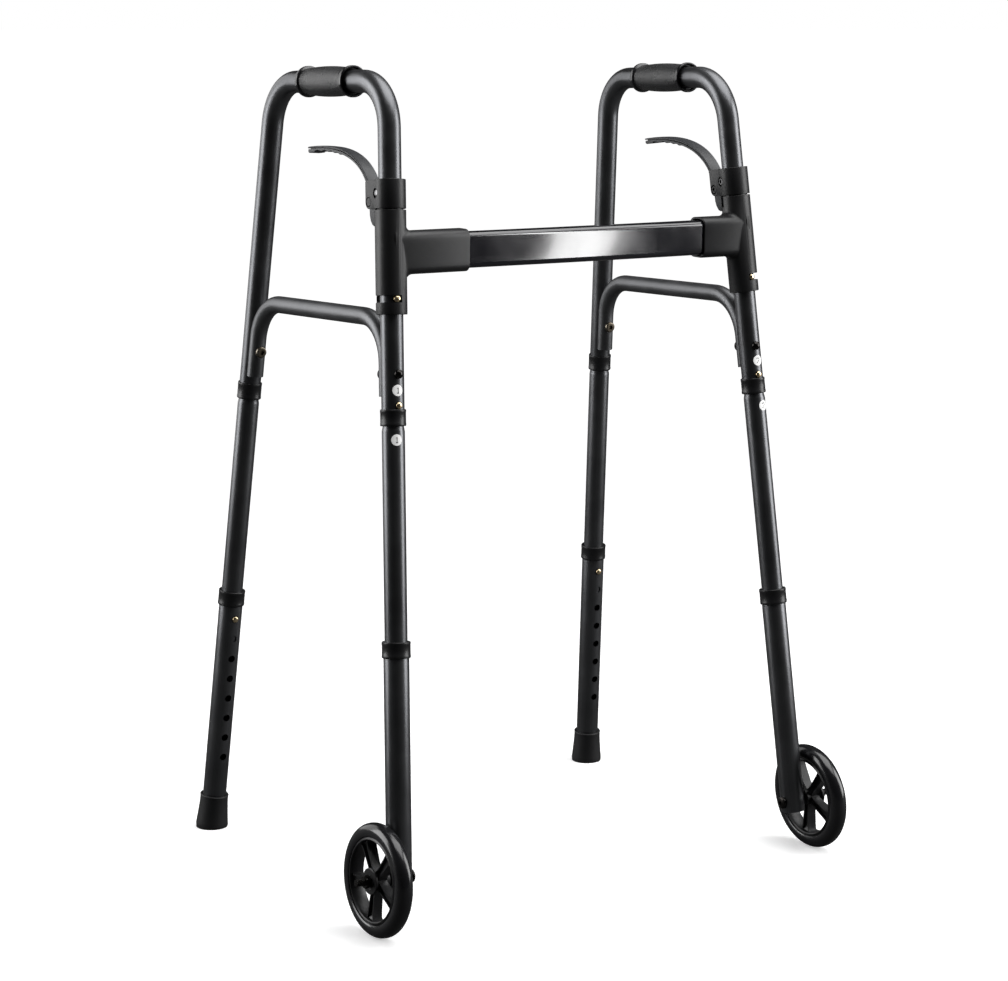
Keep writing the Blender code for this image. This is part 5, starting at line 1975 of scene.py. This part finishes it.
BAR_BOX = SoftBox("bar_box", (1.47, -2.25, 1.12), (0.22, 2.2), 27.0)
SOFT_BOXES = (
    SoftBox("left_box", (-2.02, 1.36, 1.22), (1.4, 2.0), 46.0),
    SoftBox("back_box", (-0.89, 2.44, 1.22), (1.6, 2.0), 14.0),
    SoftBox("right_box", (2.10, -1.36, 1.22), (1.3, 2.0), 52.0),
    BAR_BOX,
    SoftBox("top_box", (0.7, -0.45, 2.9), (2.6, 2.6), 85.0, aim=0.0),
)


@dataclass
class Studio:
    """Camera, floor and soft lights."""

    camera_at: Point = (-1.70993, -2.62532, 1.02149)
    yaw: float = math.radians(-32.87669)
    pitch: float = math.radians(-10.56687)
    roll: float = math.radians(0.51203)
    lens: float = 95.310
    air: float = 0.022

    def build(self) -> None:
        """Sets up the whole studio."""
        self.set_camera()
        self.set_floor()
        self.set_lights()

    def set_camera(self) -> None:
        """Places the camera by its heading, tilt and roll."""
        a, b, c = self.yaw, self.pitch, self.roll
        forward = Vector((-math.sin(a) * math.cos(b), math.cos(a) * math.cos(b), math.sin(b)))
        right = forward.cross(Vector((0, 0, 1))).normalized()
        up = right.cross(forward)
        level = right * math.cos(c) + up * math.sin(c)
        top = up * math.cos(c) - right * math.sin(c)
        data = bpy.data.cameras.new("studio_camera")
        data.lens, data.sensor_width, data.sensor_fit = self.lens, 36.0, "HORIZONTAL"
        data.clip_end = 200
        camera = bpy.data.objects.new("studio_camera", data)
        turn = Matrix((level, top, -forward)).transposed().to_4x4()
        camera.matrix_world = Matrix.Translation(self.camera_at) @ turn
        bpy.context.scene.collection.objects.link(camera)
        bpy.context.scene.camera = camera

    def set_floor(self) -> None:
        """Lays a wide pale floor."""
        bm = bmesh.new()
        bmesh.ops.create_grid(bm, x_segments=8, y_segments=8, size=60)
        floor = make_object("studio_floor", bm, FLOOR, Matrix())

    def bar_only(self) -> bpy.types.Collection:
        """Collects the crossbar alone, for the narrow box that lights only it.

        Returns:
            The collection.
        """
        made = bpy.data.collections.new("bar_highlight")
        made.objects.link(bpy.data.objects["crossbar_tube"])
        return made

    def set_lights(self) -> None:
        """Hangs the soft boxes and lights the air a little."""
        for box_light in SOFT_BOXES:
            light = box_light.hang()
            if box_light is BAR_BOX:
                light.light_linking.receiver_collection = self.bar_only()
        world = bpy.data.worlds.new("studio_air")
        world.use_nodes = True
        sheet = NodeSheet(world.node_tree)
        seen = sheet.add("LightPath").outputs["Is Camera Ray"]
        strength = sheet.spread(seen, 0.0, 1.0, self.air, 1.0)
        air = sheet.add("Background", Color=(1.0, 1.0, 1.0), Strength=strength)
        sheet.add("OutputWorld", Surface=air.outputs[0])
        bpy.context.scene.world = world
        bpy.context.scene.view_settings.view_transform = "Standard"


def side_pieces(record: dict, side: Side, bar: Crossbar) -> None:
    """Builds all the pieces of one side frame.

    Args:
        record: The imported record.
        side: Which side.
        bar: The crossbar.
    """
    front, rear = Leg.read(record, side, "front"), Leg.read(record, side, "rear")
    SideTube(front, rear).build()
    Brace(front, rear).build()
    HingeHousing(front).build(bar)
    ReleaseCollar(front).build()
    ReleaseLever(front).build()
    SnapButton(front, "fold_button", *PLACES.fold_button, 0.0173).build()
    LegSections(front, (0.5600, 0.5783), (0.3056, 0.3236), 0.0500, Facing.FRONT, Facing.REAR).build()
    LegSections(rear, (0.5468, 0.5663), (0.2888, 0.3071), 0.0100, Facing.REAR, Facing.FRONT).build()
    FrontWheel(front).build()
    FloorTip(rear).build()
    NumberLabels(front, "1" if side is Side.RIGHT else "2").build()


def main() -> None:
    """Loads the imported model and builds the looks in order."""
    logging.basicConfig(level=logging.INFO, format="%(name)s: %(message)s")
    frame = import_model()
    record = frame["record"]
    low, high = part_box("crossbar")
    crossing = Leg.read(record, Side.LEFT, "front").crossing(PLACES.bar_level)
    bar = Crossbar(middle_y=crossing.y, middle_z=(low.z + high.z) / 2, half=high.x)
    bar.build()
    Studio().build()
    for side in Side:
        side_pieces(record, side, bar)


if __name__ == "__main__":
    main()
